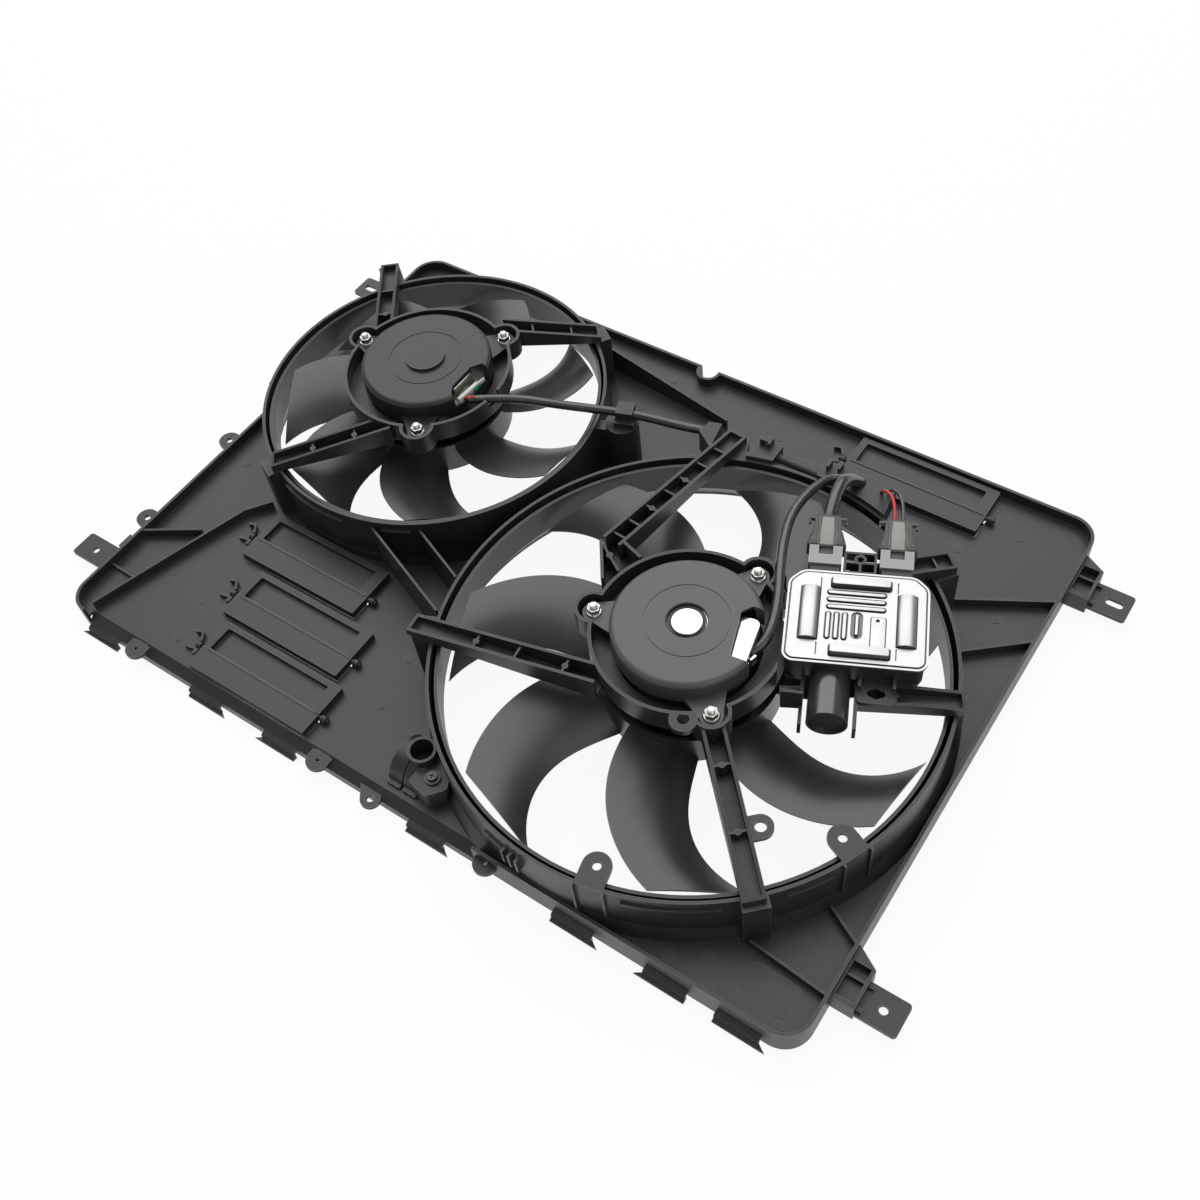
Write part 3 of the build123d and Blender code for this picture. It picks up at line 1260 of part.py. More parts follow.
with BuildPart() as module_canister:
    side_of_case = Plane(
        origin=module_plane.from_local_coords((CANISTER_X, -MODULE_WIDTH / 2, -CANISTER_DROP)),
        x_dir=module_plane.x_dir,
        z_dir=-module_plane.y_dir,
    )
    with BuildSketch(side_of_case):
        Circle(CANISTER_R)
    extrude(amount=CANISTER_LENGTH)
    with BuildSketch(side_of_case.offset(CANISTER_LENGTH - 3)):
        Circle(CANISTER_R)
        Circle(CANISTER_R - 1.6, mode=Mode.SUBTRACT)
    extrude(amount=5)
keep(module_canister, "module_canister")


def socket(x):
    """A plug socket on the module's far side: a collar, open at the far end."""
    with BuildPart() as shell:
        with BuildSketch(module_plane.offset(4)):
            with Locations((x, MODULE_WIDTH / 2 + (10.5 + SOCKET_REACH) / 2)):
                Rectangle(SOCKET_WIDE, SOCKET_REACH - 10.5)
        extrude(amount=14)
        with BuildSketch(module_plane.offset(6)):
            with Locations((x, MODULE_WIDTH / 2 + PLUG_START + 10)):
                Rectangle(SOCKET_WIDE - 4, 20)
        extrude(amount=10, mode=Mode.SUBTRACT)
        # Notch for the plug's latch
        with BuildSketch(module_plane.offset(15)):
            with Locations((x, MODULE_WIDTH / 2 + SOCKET_REACH - 3)):
                Rectangle(10.5, 10)
        extrude(amount=4, mode=Mode.SUBTRACT)
    return shell


def plug(x):
    """A plug that sits in its socket, with a latch on top and a stepped back end."""
    middle = (PLUG_START + SOCKET_REACH + 1) / 2
    back = (SOCKET_REACH + 1 + PLUG_END) / 2
    with BuildPart() as body:
        with BuildSketch(module_plane.offset(6.2)):
            with Locations((x, MODULE_WIDTH / 2 + middle + 0.5)):
                Rectangle(SOCKET_WIDE - 4.4, SOCKET_REACH - PLUG_START)
        extrude(amount=9.6)
        with BuildSketch(module_plane.offset(4.6)):
            with Locations((x, MODULE_WIDTH / 2 + back)):
                RectangleRounded(SOCKET_WIDE - 1, PLUG_END - SOCKET_REACH - 1, 2)
        extrude(amount=13)
        with BuildSketch(module_plane.offset(15.8)):
            with Locations((x, MODULE_WIDTH / 2 + SOCKET_REACH)):
                Rectangle(9, 12)
        extrude(amount=3.4)
        # Grip ribs across the back end
        with BuildSketch(module_plane.offset(17.6)):
            for rib_y in (36.0, 41.0, 46.0, 51.0):
                with Locations((x, MODULE_WIDTH / 2 + rib_y)):
                    Rectangle(14, 1.6)
        extrude(amount=1.2)
    return body


keep(socket(LEFT_SOCKET_X), "left_socket")
keep(socket(RIGHT_SOCKET_X), "right_socket")
keep(plug(LEFT_SOCKET_X), "left_plug")
keep(plug(RIGHT_SOCKET_X), "right_plug")

# Sensor holder: two clip shells bent over a half barrel, a screwed block and an upright tube
BARREL_R = 20.5
BARREL_START = (338.0, 36.0)
BARREL_SPAN = 28.0
SHELL_GAP = 1.6
HOLDER_TOP = PANEL_TOP + BARREL_R
TUBE_AT = (357.0, 38.5)
TUBE_R = 11.0
TUBE_BORE_R = 8.8
TUBE_TOP = 44.0
SCREW_AT = (374.5, 27.0)
with BuildPart() as sensor_holder:
    barrel_end = Plane(origin=at(*BARREL_START, PANEL_TOP), x_dir=(0, 1, 0), z_dir=(1, 0, 0))
    with BuildSketch(barrel_end):
        Circle(BARREL_R)
        Rectangle(2 * BARREL_R, BARREL_R, align=(Align.CENTER, Align.MIN), mode=Mode.INTERSECT)
    extrude(amount=BARREL_SPAN)
    with BuildSketch(barrel_end.offset(BARREL_SPAN / 2 - SHELL_GAP)):
        Circle(BARREL_R + 1)
        Circle(BARREL_R - SHELL_GAP, mode=Mode.SUBTRACT)
    extrude(amount=SHELL_GAP, mode=Mode.SUBTRACT)
    # Flange of each shell, on the panel
    with BuildSketch(Plane.XY.offset(PANEL_TOP)):
        for shell_x in (BARREL_SPAN / 4 - 1, 3 * BARREL_SPAN / 4):
            with Locations(at(BARREL_START[0] + shell_x, BARREL_START[1] - BARREL_R)):
                Rectangle(BARREL_SPAN / 2 - 2, 6)
    extrude(amount=3)
    # Block that takes the screw
    with BuildSketch(Plane.XY.offset(PANEL_TOP)):
        with BuildLine():
            FilletPolyline(
                at(360, 16)[:2],
                at(378, 12)[:2],
                at(389, 25)[:2],
                at(378, 48)[:2],
                at(360, 52)[:2],
                radius=[2, 5, 4, 5, 2],
                close=True,
            )
        make_face()
    extrude(amount=HOLDER_TOP - 2 - PANEL_TOP)
    with BuildSketch(Plane.XY.offset(PANEL_TOP)):
        with Locations(at(*SCREW_AT)):
            Circle(6)
    extrude(amount=HOLDER_TOP - PANEL_TOP)
    with BuildSketch(Plane.XY.offset(PANEL_TOP)):
        with Locations(at(*TUBE_AT)):
            Circle(TUBE_R)
    extrude(amount=TUBE_TOP - PANEL_TOP)
    with BuildSketch(Plane.XY.offset(PANEL_TOP + 8)):
        with Locations(at(*TUBE_AT)):
            Circle(TUBE_BORE_R)
    extrude(amount=TUBE_TOP, mode=Mode.SUBTRACT)
    with BuildSketch(Plane.XY.offset(HOLDER_TOP - 8)):
        with Locations(at(*SCREW_AT)):
            Circle(1.4)
    extrude(amount=12, mode=Mode.SUBTRACT)
    # The casing follows the ring's foot and outer wall
    with BuildSketch(Plane.XY.offset(PANEL_TOP)):
        with Locations(at(*LARGE_AXIS)):
            Circle(LARGE_FOOT_R + SHEET + 0.1)
    extrude(amount=TRAY_DEPTH - PANEL_TOP, mode=Mode.SUBTRACT)
    with BuildSketch(Plane.XY.offset(TRAY_DEPTH)):
        with Locations(at(*LARGE_AXIS)):
            Circle(LARGE_OUTER_R + 0.1)
    extrude(amount=40, mode=Mode.SUBTRACT)
keep(sensor_holder, "sensor_holder")

with BuildPart() as holder_screw:
    with BuildSketch(Plane.XY.offset(HOLDER_TOP)):
        with Locations(at(*SCREW_AT)):
            Circle(3.6)
    extrude(amount=2.2)
    with BuildSketch(Plane.XY.offset(HOLDER_TOP + 1)):
        with Locations(at(*SCREW_AT)):
            Rectangle(4.6, 0.9, rotation=20)
            Rectangle(0.9, 4.6, rotation=20)
    extrude(amount=2, mode=Mode.SUBTRACT)
    with BuildSketch(Plane.XY.offset(HOLDER_TOP - 7)):
        with Locations(at(*SCREW_AT)):
            Circle(1.35)
    extrude(amount=7)
keep(holder_screw, "holder_screw")

# Cable conduit on the outside of the large ring, beyond the top spoke
TROUGH_TOP = 70.0
TROUGH_FLOOR = 50.0
with BuildPart() as cable_conduit:
    with BuildSketch(Plane.XY.offset(TROUGH_FLOOR)):
        with BuildLine():
            Polyline(at(381, 384)[:2], at(384, 396)[:2], at(394, 399)[:2], at(399, 372)[:2], close=True)
        make_face()
    extrude(amount=TROUGH_TOP + 4 - TROUGH_FLOOR)
    with BuildSketch(Plane.XY.offset(TROUGH_FLOOR)):
        with BuildLine():
            Polyline(
                at(426.5, 408)[:2],
                at(448, 405)[:2],
                at(486, 410)[:2],
                at(546, 411)[:2],
                at(550, 380)[:2],
                at(486, 384)[:2],
                at(426.5, 376)[:2],
                close=True,
            )
        make_face()
    extrude(amount=TROUGH_TOP - TROUGH_FLOOR)
    # The middle stretch is lower: a half pipe between the two boxes
    with BuildSketch(Plane.XY.offset(TROUGH_TOP - 8)):
        with Locations(at(467, 396)):
            Rectangle(38, 60)
    extrude(amount=10, mode=Mode.SUBTRACT)
    with BuildSketch(Plane(origin=at(446, 398.5, TROUGH_TOP - 8), x_dir=(0, 1, 0), z_dir=(1, 0, 0))):
        Circle(4.2)
    extrude(amount=42)
    # Latches on the boxes
    for latch_x, latch_y in ((431, 402), (439, 401), (491, 403), (500, 405)):
        with BuildSketch(Plane.XY.offset(TROUGH_TOP - 1)):
            with Locations(at(latch_x, latch_y)):
                Rectangle(1.8, 8)
        extrude(amount=7)
    with BuildSketch(Plane.XY.offset(TROUGH_TOP + 4)):
        with Locations(at(435, 401.5)):
            Rectangle(8, 6)
    extrude(amount=2)
    with BuildSketch(Plane.XY.offset(TROUGH_FLOOR - 1)):
        with Locations(at(*LARGE_AXIS)):
            Circle(LARGE_OUTER_R + 0.1)
    extrude(amount=60, mode=Mode.SUBTRACT)
keep(cable_conduit, "cable_conduit")


def lead(points, diameter):
    """A lead along hand-laid points: straight runs joined by tangent bends."""
    corners = [Vector(*at(*point)) for point in points]
    bends = []
    for before, corner, after in zip(corners, corners[1:], corners[2:]):
        run_in = corner - before
        run_out = after - corner
        half_turn = radians(run_in.get_angle(run_out)) / 2
        bends.append(0.45 * min(run_in.length, run_out.length) / tan(half_turn))
    with BuildPart() as tube:
        with BuildLine():
            path = FilletPolyline(*corners, radius=bends)
        with BuildSketch(Plane(origin=path @ 0, z_dir=path % 0)):
            Circle(diameter / 2)
        sweep()
    return tube


LEAD_D = 7.5
SLEEVE_D = 10.0
WIRE_D = 2.6
SMALL_LEAD = (
    (207, 304, 93),
    (224, 316, 92.5),
    (244, 330, 89),
    (270, 343, 84),
    (298, 358, 79),
    (320, 368, 77),
    (344, 375, 75.5),
    (367, 382, 72),
    (385.5, 391, 68),
)
small_lead = lead(SMALL_LEAD, LEAD_D)
keep(small_lead, "small_motor_lead")
large_lead = lead(
    (
        (530, 196, 91.5),
        (541, 209, 97.5),
        (540, 226, 102.5),
        (533, 247, 103.4),
        (520, 272, 103),
        (508, 298, 101),
        (498, 328, 96),
        (497, 358, 91),
        (502, 384, 84),
        (507, 400, 69),
    ),
    LEAD_D,
)
keep(large_lead, "large_motor_lead")
plug_back = [module_plane.from_local_coords((x, MODULE_WIDTH / 2 + PLUG_END - 1, 11)) for x in (
    LEFT_SOCKET_X, RIGHT_SOCKET_X - 3.0, RIGHT_SOCKET_X + 3.0)]
sleeve_start, red_start, black_start = [
    (point.X + ORIGIN_X, point.Y + ORIGIN_Y, point.Z) for point in plug_back
]
keep(lead((sleeve_start, (516, 364, 95), (514, 388, 88), (519, 402, 69)), SLEEVE_D), "plug_sleeve")
keep(lead((red_start, (560, 377, 94), (546, 391, 88), (537, 402, 69)), WIRE_D), "red_wire")
keep(lead((black_start, (565, 382, 92), (549, 397, 86), (542, 404, 69)), WIRE_D), "black_wire")
keep(
    lead(((199, 303, 88), (203, 303.6, 93), (207, 304, 96), (212, 306.5, 96.4)), WIRE_D - 0.2),
    "small_motor_red_wire",
)

# Clip that holds the small motor's lead, on a boss beside the small ring
CLIP_AT = (320.0, 368.0)
CLIP_FLOOR = 68.0
with BuildPart() as lead_clip:
    with BuildSketch(Plane.XY.offset(CLIP_FLOOR)):
        with Locations(at(*CLIP_AT)):
            Rectangle(17, 20, rotation=20)
    extrude(amount=6)
    with BuildSketch(Plane.XY.offset(CLIP_FLOOR + 4)):
        with Locations(at(*CLIP_AT)):
            Rectangle(14, 14, rotation=20)
    extrude(amount=11)
    add(lead(SMALL_LEAD, LEAD_D + 0.1).part, mode=Mode.SUBTRACT)
keep(lead_clip, "lead_clip")


def relief_flap(centre):
    """A relief flap: a shallow tray in front of its trunnions, a plain box behind them."""
    x, y = centre
    seat = PANEL_TOP + FLAP_SEAT
    middle = y + (FLAP_FRONT - FLAP_BACK) / 2
    with BuildPart() as flap:
        with BuildSketch(Plane.XY.offset(seat)):
            with Locations(at(x, middle)):
                RectangleRounded(FLAP_LENGTH, FLAP_FRONT + FLAP_BACK, 1.5)
        extrude(amount=FLAP_HEIGHT)
        with BuildSketch(Plane.XY.offset(seat + FLAP_SHEET)):
            with Locations(at(x - 2, y + 12.5)):
                RectangleRounded(FLAP_LENGTH - 16, 22, 1.2)
        extrude(amount=FLAP_HEIGHT, mode=Mode.SUBTRACT)
        with BuildSketch(Plane.XY.offset(seat)):
            with Locations(at(x, y - FLAP_BACK / 2 - 1)):
                Rectangle(FLAP_LENGTH - 2 * FLAP_SHEET, FLAP_BACK - 2 - 2 * FLAP_SHEET)
        extrude(amount=FLAP_HEIGHT - FLAP_SHEET, mode=Mode.SUBTRACT)
        # Trunnions and the raised line between them
        reach = FLAP_LENGTH / 2 + FLAP_GAP + 7.5
        pin = Plane(origin=at(x - reach, y, FLAP_PIN_Z), x_dir=(0, 1, 0), z_dir=(1, 0, 0))
        with BuildSketch(pin):
            Circle(PIN_R)
        extrude(amount=2 * reach)
        with BuildSketch(Plane.XY.offset(seat + FLAP_HEIGHT)):
            with Locations(at(x, y)):
                Rectangle(FLAP_LENGTH - 4, 1.6)
        extrude(amount=0.7)
    return flap


for number, flap_axis in enumerate(FLAP_AXES, start=1):
    keep(relief_flap(flap_axis), f"relief_flap_{number}")
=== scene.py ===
"""Visual model of a twin-fan radiator cooling module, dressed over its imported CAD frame."""

import json
import logging
import math
from collections.abc import Callable
from dataclasses import dataclass
from enum import Enum

import bmesh
import bpy
from mathutils import Matrix, Vector


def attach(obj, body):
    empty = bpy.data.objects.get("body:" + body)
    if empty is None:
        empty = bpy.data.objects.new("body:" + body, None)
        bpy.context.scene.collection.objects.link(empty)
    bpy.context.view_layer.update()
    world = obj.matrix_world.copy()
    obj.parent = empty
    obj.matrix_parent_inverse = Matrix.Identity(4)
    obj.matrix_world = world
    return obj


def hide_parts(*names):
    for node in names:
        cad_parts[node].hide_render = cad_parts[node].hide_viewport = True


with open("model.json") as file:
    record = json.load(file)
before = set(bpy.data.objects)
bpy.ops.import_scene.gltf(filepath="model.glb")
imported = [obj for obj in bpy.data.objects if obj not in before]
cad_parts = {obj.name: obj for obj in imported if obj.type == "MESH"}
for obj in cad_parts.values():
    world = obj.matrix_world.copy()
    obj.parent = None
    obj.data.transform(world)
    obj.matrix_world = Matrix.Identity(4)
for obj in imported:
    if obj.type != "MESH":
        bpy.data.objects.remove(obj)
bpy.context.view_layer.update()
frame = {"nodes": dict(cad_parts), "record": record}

log = logging.getLogger("scene")

TRAY_MIDDLE = (0.345, 0.2398)


def place(x: float, y: float, z: float) -> Vector:
    """Turn a plan position in millimetres, read from the tray's corner, into the frame.

    Args:
        x: Distance along the tray, in millimetres.
        y: Distance from the clipped edge, in millimetres.
        z: Height above the radiator side, in millimetres.

    Returns:
        The same point in metres, in the frame of the CAD model.
    """
    return Vector((x / 1000 - TRAY_MIDDLE[0], y / 1000 - TRAY_MIDDLE[1], z / 1000))


class Shade:
    """One output socket of a shader graph, with arithmetic on it."""

    def __init__(self, graph: "Graph", socket: bpy.types.NodeSocket) -> None:
        self.graph = graph
        self.socket = socket

    def _math(self, operation: str, *values: "Shade | float") -> "Shade":
        """Add a Math node over some values and return its result."""
        return self.graph.node("ShaderNodeMath", list(values), operation=operation)

    def __add__(self, other: "Shade | float") -> "Shade":
        return self._math("ADD", self, other)

    def __radd__(self, other: float) -> "Shade":
        return self._math("ADD", other, self)

    def __sub__(self, other: "Shade | float") -> "Shade":
        return self._math("SUBTRACT", self, other)

    def __rsub__(self, other: float) -> "Shade":
        return self._math("SUBTRACT", other, self)

    def __mul__(self, other: "Shade | float") -> "Shade":
        return self._math("MULTIPLY", self, other)

    def __rmul__(self, other: float) -> "Shade":
        return self._math("MULTIPLY", other, self)

    def __truediv__(self, other: "Shade | float") -> "Shade":
        return self._math("DIVIDE", self, other)

    def __pow__(self, other: "Shade | float") -> "Shade":
        return self._math("POWER", self, other)

    def __neg__(self) -> "Shade":
        return self._math("MULTIPLY", self, -1.0)

    def spread(self, low: float, high: float, start: float = 0.0, end: float = 1.0) -> "Shade":
        """Map a range of this value onto another, and hold it there.

        Args:
            low: The value that becomes start.
            high: The value that becomes end.
            start: The new value at low.
            end: The new value at high.

        Returns:
            The mapped value.
        """
        return self.graph.node("ShaderNodeMapRange", [self, low, high, start, end], clamp=True)


class Graph:
    """The node tree of one material, built up from Principled BSDF."""

    def __init__(self, name: str) -> None:
        self.material = bpy.data.materials.new(name)
        self.material.use_nodes = True
        self.tree = self.material.node_tree
        self.shader = self.tree.nodes["Principled BSDF"]
        self.where = self.node("ShaderNodeTexCoord", [], output="Object")

    def node(self, kind: str, inputs: list | dict, output: str | int = 0, **settings) -> Shade:
        """Add any node, set what it has and feed its inputs.

        Args:
            kind: The node's type.
            inputs: Values or shades, in order or by the name of the socket.
            output: The output to return.
            **settings: Properties of the node itself.

        Returns:
            The chosen output.
        """
        made = self.tree.nodes.new(kind)
        for key, value in settings.items():
            setattr(made, key, value)
        pairs = inputs.items() if isinstance(inputs, dict) else enumerate(inputs)
        for key, value in pairs:
            if isinstance(value, Shade):
                self.tree.links.new(value.socket, made.inputs[key])
            elif value is not None:
                made.inputs[key].default_value = value
        return Shade(self, made.outputs[output])

    def noise(self, scale: float, detail: float = 3.0, where: Shade | None = None) -> Shade:
        """Noise over the object's own coordinates.

        Args:
            scale: Cycles per metre.
            detail: Octaves.
            where: Other coordinates, when they aren't the object's.

        Returns:
            The noise's factor, from 0 to 1.
        """
        feed = {"Vector": where or self.where, "Scale": scale, "Detail": detail}
        return self.node("ShaderNodeTexNoise", feed, output=0)

    def blend(self, factor: Shade | float, first: tuple | Shade, second: tuple | Shade) -> Shade:
        """Mix two colours.

        Args:
            factor: Share of the second colour.
            first: Colour at 0.
            second: Colour at 1.

        Returns:
            The mixed colour.
        """
        made = self.tree.nodes.new("ShaderNodeMix")
        made.data_type = "RGBA"
        for socket, value in ((made.inputs[0], factor), (made.inputs[6], first), (made.inputs[7], second)):
            if isinstance(value, Shade):
                self.tree.links.new(value.socket, socket)
            elif isinstance(value, tuple):
                socket.default_value = (*value, 1.0)
            else:
                socket.default_value = value
        return Shade(self, made.outputs[2])

    def edges(self, radius: float) -> Shade:
        """How near a point lies to a sharp edge.

        Args:
            radius: Reach of the edge's influence, in metres.

        Returns:
            0 on open surface, rising towards 1 at an edge.
        """
        rounded = self.node("ShaderNodeBevel", {"Radius": radius}, samples=4)
        flat = self.node("ShaderNodeNewGeometry", [], output="Normal")
        same = self.node("ShaderNodeVectorMath", [rounded, flat], output="Value", operation="DOT_PRODUCT")
        return (1.0 - same).spread(0.005, 0.16)

    def bump(self, height: Shade, distance: float, strength: float = 1.0) -> None:
        """Feed a height to the shader's normal.

        Args:
            height: The height, from 0 to 1.
            distance: What 1 stands for, in metres.
            strength: Share of the effect.
        """
        normal = self.node("ShaderNodeBump", {"Strength": strength, "Distance": distance, "Height": height})
        self.tree.links.new(normal.socket, self.shader.inputs["Normal"])

    def set(self, **inputs: "Shade | float | tuple") -> None:
        """Set the shader's own sockets, underscores standing for spaces.

        Args:
            **inputs: A shade, a number or a colour for each socket.
        """
        for key, value in inputs.items():
            socket = self.shader.inputs[key.replace("_", " ")]
            if isinstance(value, Shade):
                self.tree.links.new(value.socket, socket)
            else:
                socket.default_value = (*value, 1.0) if isinstance(value, tuple) else value


    def show_white(self, share: float) -> None:
        """Let the camera and reflections see the surface as plain white, by a share.

        Args:
            share: How much of the surface's own light and shadow gives way to white.
        """
        rays = self.node("ShaderNodeLightPath", [], output="Is Camera Ray")
        for ray in ("Is Glossy Ray", "Is Transmission Ray"):
            rays = rays + self.node("ShaderNodeLightPath", [], output=ray)
        white = self.node("ShaderNodeEmission", {"Strength": 1.0}, output="Emission")
        mixed = self.tree.nodes.new("ShaderNodeMixShader")
        self.tree.links.new(rays.spread(0.0, 1.0, 0.0, share).socket, mixed.inputs[0])
        self.tree.links.new(self.shader.outputs[0], mixed.inputs[1])
        self.tree.links.new(white.socket, mixed.inputs[2])
        self.tree.links.new(mixed.outputs[0], self.tree.nodes["Material Output"].inputs["Surface"])


# Height band below which the embossed finish paints shade into the gutter and moats, and the colour of that painted
# shade.
MOAT_BAND = (0.09975, 0.10005)
PAINTED_SHADE_COLOUR = (0.12, 0.12, 0.117)


class Surface(Enum):
    """The kinds of surface that a finish can have."""

    MOULDED = "moulded"
    PAINTED = "painted"
    BRUSHED = "brushed"
    EMBOSSED = "embossed"
    PLATED = "plated"
    SLEEVE = "sleeve"
    WOUND = "wound"
    FERRITE = "ferrite"
    BOARD = "board"


@dataclass(frozen=True)
class Finish:
    """What one material slot looks like.

    Attributes:
        slot: The record's material slot.
        surface: The kind of surface.
        colour: Main colour, linear.
        second: Colour of wear, streaks and mottling, and of the painted highlight along sharp edges.
        roughness: Roughness of the open surface.
        grain: Cycles per metre of the fine texture.
        relief: Height of the fine texture, in metres.
        metallic: Metallic share.
        gleam: Specular level.
    """

    slot: str
    surface: Surface
    colour: tuple[float, float, float]
    second: tuple[float, float, float]
    roughness: float
    grain: float = 900.0
    relief: float = 0.00004
    metallic: float = 0.0
    gleam: float = 0.5

    def make(self) -> bpy.types.Material:
        """Build the finish as a material.

        Returns:
            The new material.
        """
        graph = Graph(self.slot)
        graph.set(Metallic=self.metallic, Specular_IOR_Level=self.gleam)
        getattr(self, f"_{self.surface.value}")(graph)
        return graph.material

    def _moulded(self, graph: Graph) -> None:
        """Glass-filled nylon: fine grain, flow mottling, scuffs and a painted highlight along sharp edges."""
        fine = graph.noise(self.grain, 4.0)
        cloud = graph.noise(9.0, 5.0)
        scuff = graph.noise(60.0, 6.0).spread(0.56, 0.78)
        # Sharp edges are lightened as a painted highlight, where rounded edges would catch the light; the scuffs are
        # wear.
        edge = graph.edges(0.0012)
        edge_highlight_and_scuffs = (edge * 0.75 + scuff * cloud * 0.3).spread(0.0, 1.0)
        deep = tuple(part * 0.72 for part in self.colour)
        graph.set(Base_Color=graph.blend(edge_highlight_and_scuffs, graph.blend(cloud, deep, self.colour), self.second))
        graph.set(Roughness=self.roughness + (fine - 0.5) * 0.14 + scuff * 0.08 - edge * 0.1)
        graph.bump(fine, self.relief)

    def _painted(self, graph: Graph) -> None:
        """Satin paint over pressed steel: faint orange peel, dust, and a lighter colour along sharp edges."""
        peel = graph.noise(420.0, 2.0)
        dust = graph.noise(25.0, 6.0).spread(0.5, 0.75)
        edge = graph.edges(0.0014)
        graph.set(Base_Color=graph.blend((edge * 0.6 + dust * 0.2).spread(0, 1), self.colour, self.second))
        graph.set(Roughness=self.roughness + dust * 0.12 + (peel - 0.5) * 0.06)
        graph.bump(peel, self.relief)

    def _brushed(self, graph: Graph) -> None:
        """Bright sheet or plated steel with drawn lines and dull spots."""
        lines = graph.node("ShaderNodeMapping", {"Vector": graph.where, "Scale": (40.0, 1.0, 40.0)})
        grain = graph.noise(self.grain, 3.0, lines)
        dull = graph.noise(30.0, 5.0).spread(0.45, 0.7)
        edge = graph.edges(0.0007)
        shade = (grain * 0.35 + dull * 0.35).spread(0.0, 0.8)
        graph.set(Base_Color=graph.blend(shade, self.colour, self.second))
        graph.set(Roughness=self.roughness + grain * 0.12 + dull * 0.1 - edge * 0.05)
        graph.bump(grain, self.relief)

    def _embossed(self, graph: Graph) -> None:
        """Bright pressed sheet, rougher on its drafted walls and in its gutter and moats, where painted shade darkens
        it.
        """
        lines = graph.node("ShaderNodeMapping", {"Vector": graph.where, "Scale": (40.0, 1.0, 40.0)})
        grain = graph.noise(self.grain, 3.0, lines)
        facing = graph.node("ShaderNodeTexCoord", [], output="Normal")
        upward = graph.node("ShaderNodeSeparateXYZ", [facing], output="Z")
        height = graph.node("ShaderNodeSeparateXYZ", [graph.where], output="Z")
        # Painted shade: darker on faces turned away from the upright and below the moats' band of heights.
        dark = upward.spread(0.35, 0.93, 0.94, 0.0) + height.spread(*MOAT_BAND, 0.85, 0.0)
        bright = graph.blend(grain * 0.4, self.colour, self.second)
        graph.set(Base_Color=graph.blend(dark.spread(0.0, 1.0), bright, PAINTED_SHADE_COLOUR))
        graph.set(Roughness=self.roughness + grain * 0.12 + dark * 0.2)
        graph.bump(grain, self.relief)

    def _plated(self, graph: Graph) -> None:
        """Bright plating with the faintest haze."""
        haze = graph.noise(50.0, 5.0).spread(0.45, 0.8)
        graph.set(Base_Color=graph.blend(haze, self.colour, self.second))
        graph.set(Roughness=self.roughness + haze * 0.12)
        graph.bump(graph.noise(self.grain, 2.0), self.relief)

    def _sleeve(self, graph: Graph) -> None:
        """Extruded insulation: a waxy skin with fine rubbed streaks."""
        rub = graph.noise(140.0, 6.0).spread(0.5, 0.75)
        skin = graph.noise(self.grain, 3.0)
        graph.set(Base_Color=graph.blend(rub * 0.5, self.colour, self.second))
        graph.set(Roughness=self.roughness + rub * 0.15 + (skin - 0.5) * 0.08)
        graph.bump(skin, self.relief)

    def _wound(self, graph: Graph) -> None:
        """Varnished copper turns over a laminated core."""
        turns = graph.node("ShaderNodeTexWave", {"Vector": graph.where, "Scale": 220.0, "Distortion": 0.4})
        graph.set(Base_Color=graph.blend(turns, self.colour, self.second))
        graph.set(Roughness=self.roughness + turns * 0.1)
        graph.bump(turns, self.relief)

    def _ferrite(self, graph: Graph) -> None:
        """Sintered magnet: a dull, slightly pitted surface."""
        pits = graph.node("ShaderNodeTexVoronoi", {"Vector": graph.where, "Scale": self.grain})
        graph.set(Base_Color=graph.blend(pits.spread(0.0, 0.5), self.second, self.colour))
        graph.set(Roughness=self.roughness + graph.noise(80.0) * 0.1)
        graph.bump(pits, self.relief)

    def _board(self, graph: Graph) -> None:
        """A lacquered board or card with tracks showing through as paler fields."""
        tracks = graph.node(
            "ShaderNodeTexVoronoi", {"Vector": graph.where, "Scale": 160.0}, distance="MANHATTAN"
        )
        field = tracks.spread(0.42, 0.47)
        graph.set(Base_Color=graph.blend(field, self.colour, self.second))
        graph.set(Roughness=self.roughness + graph.noise(90.0) * 0.1)
        graph.bump(field, self.relief)


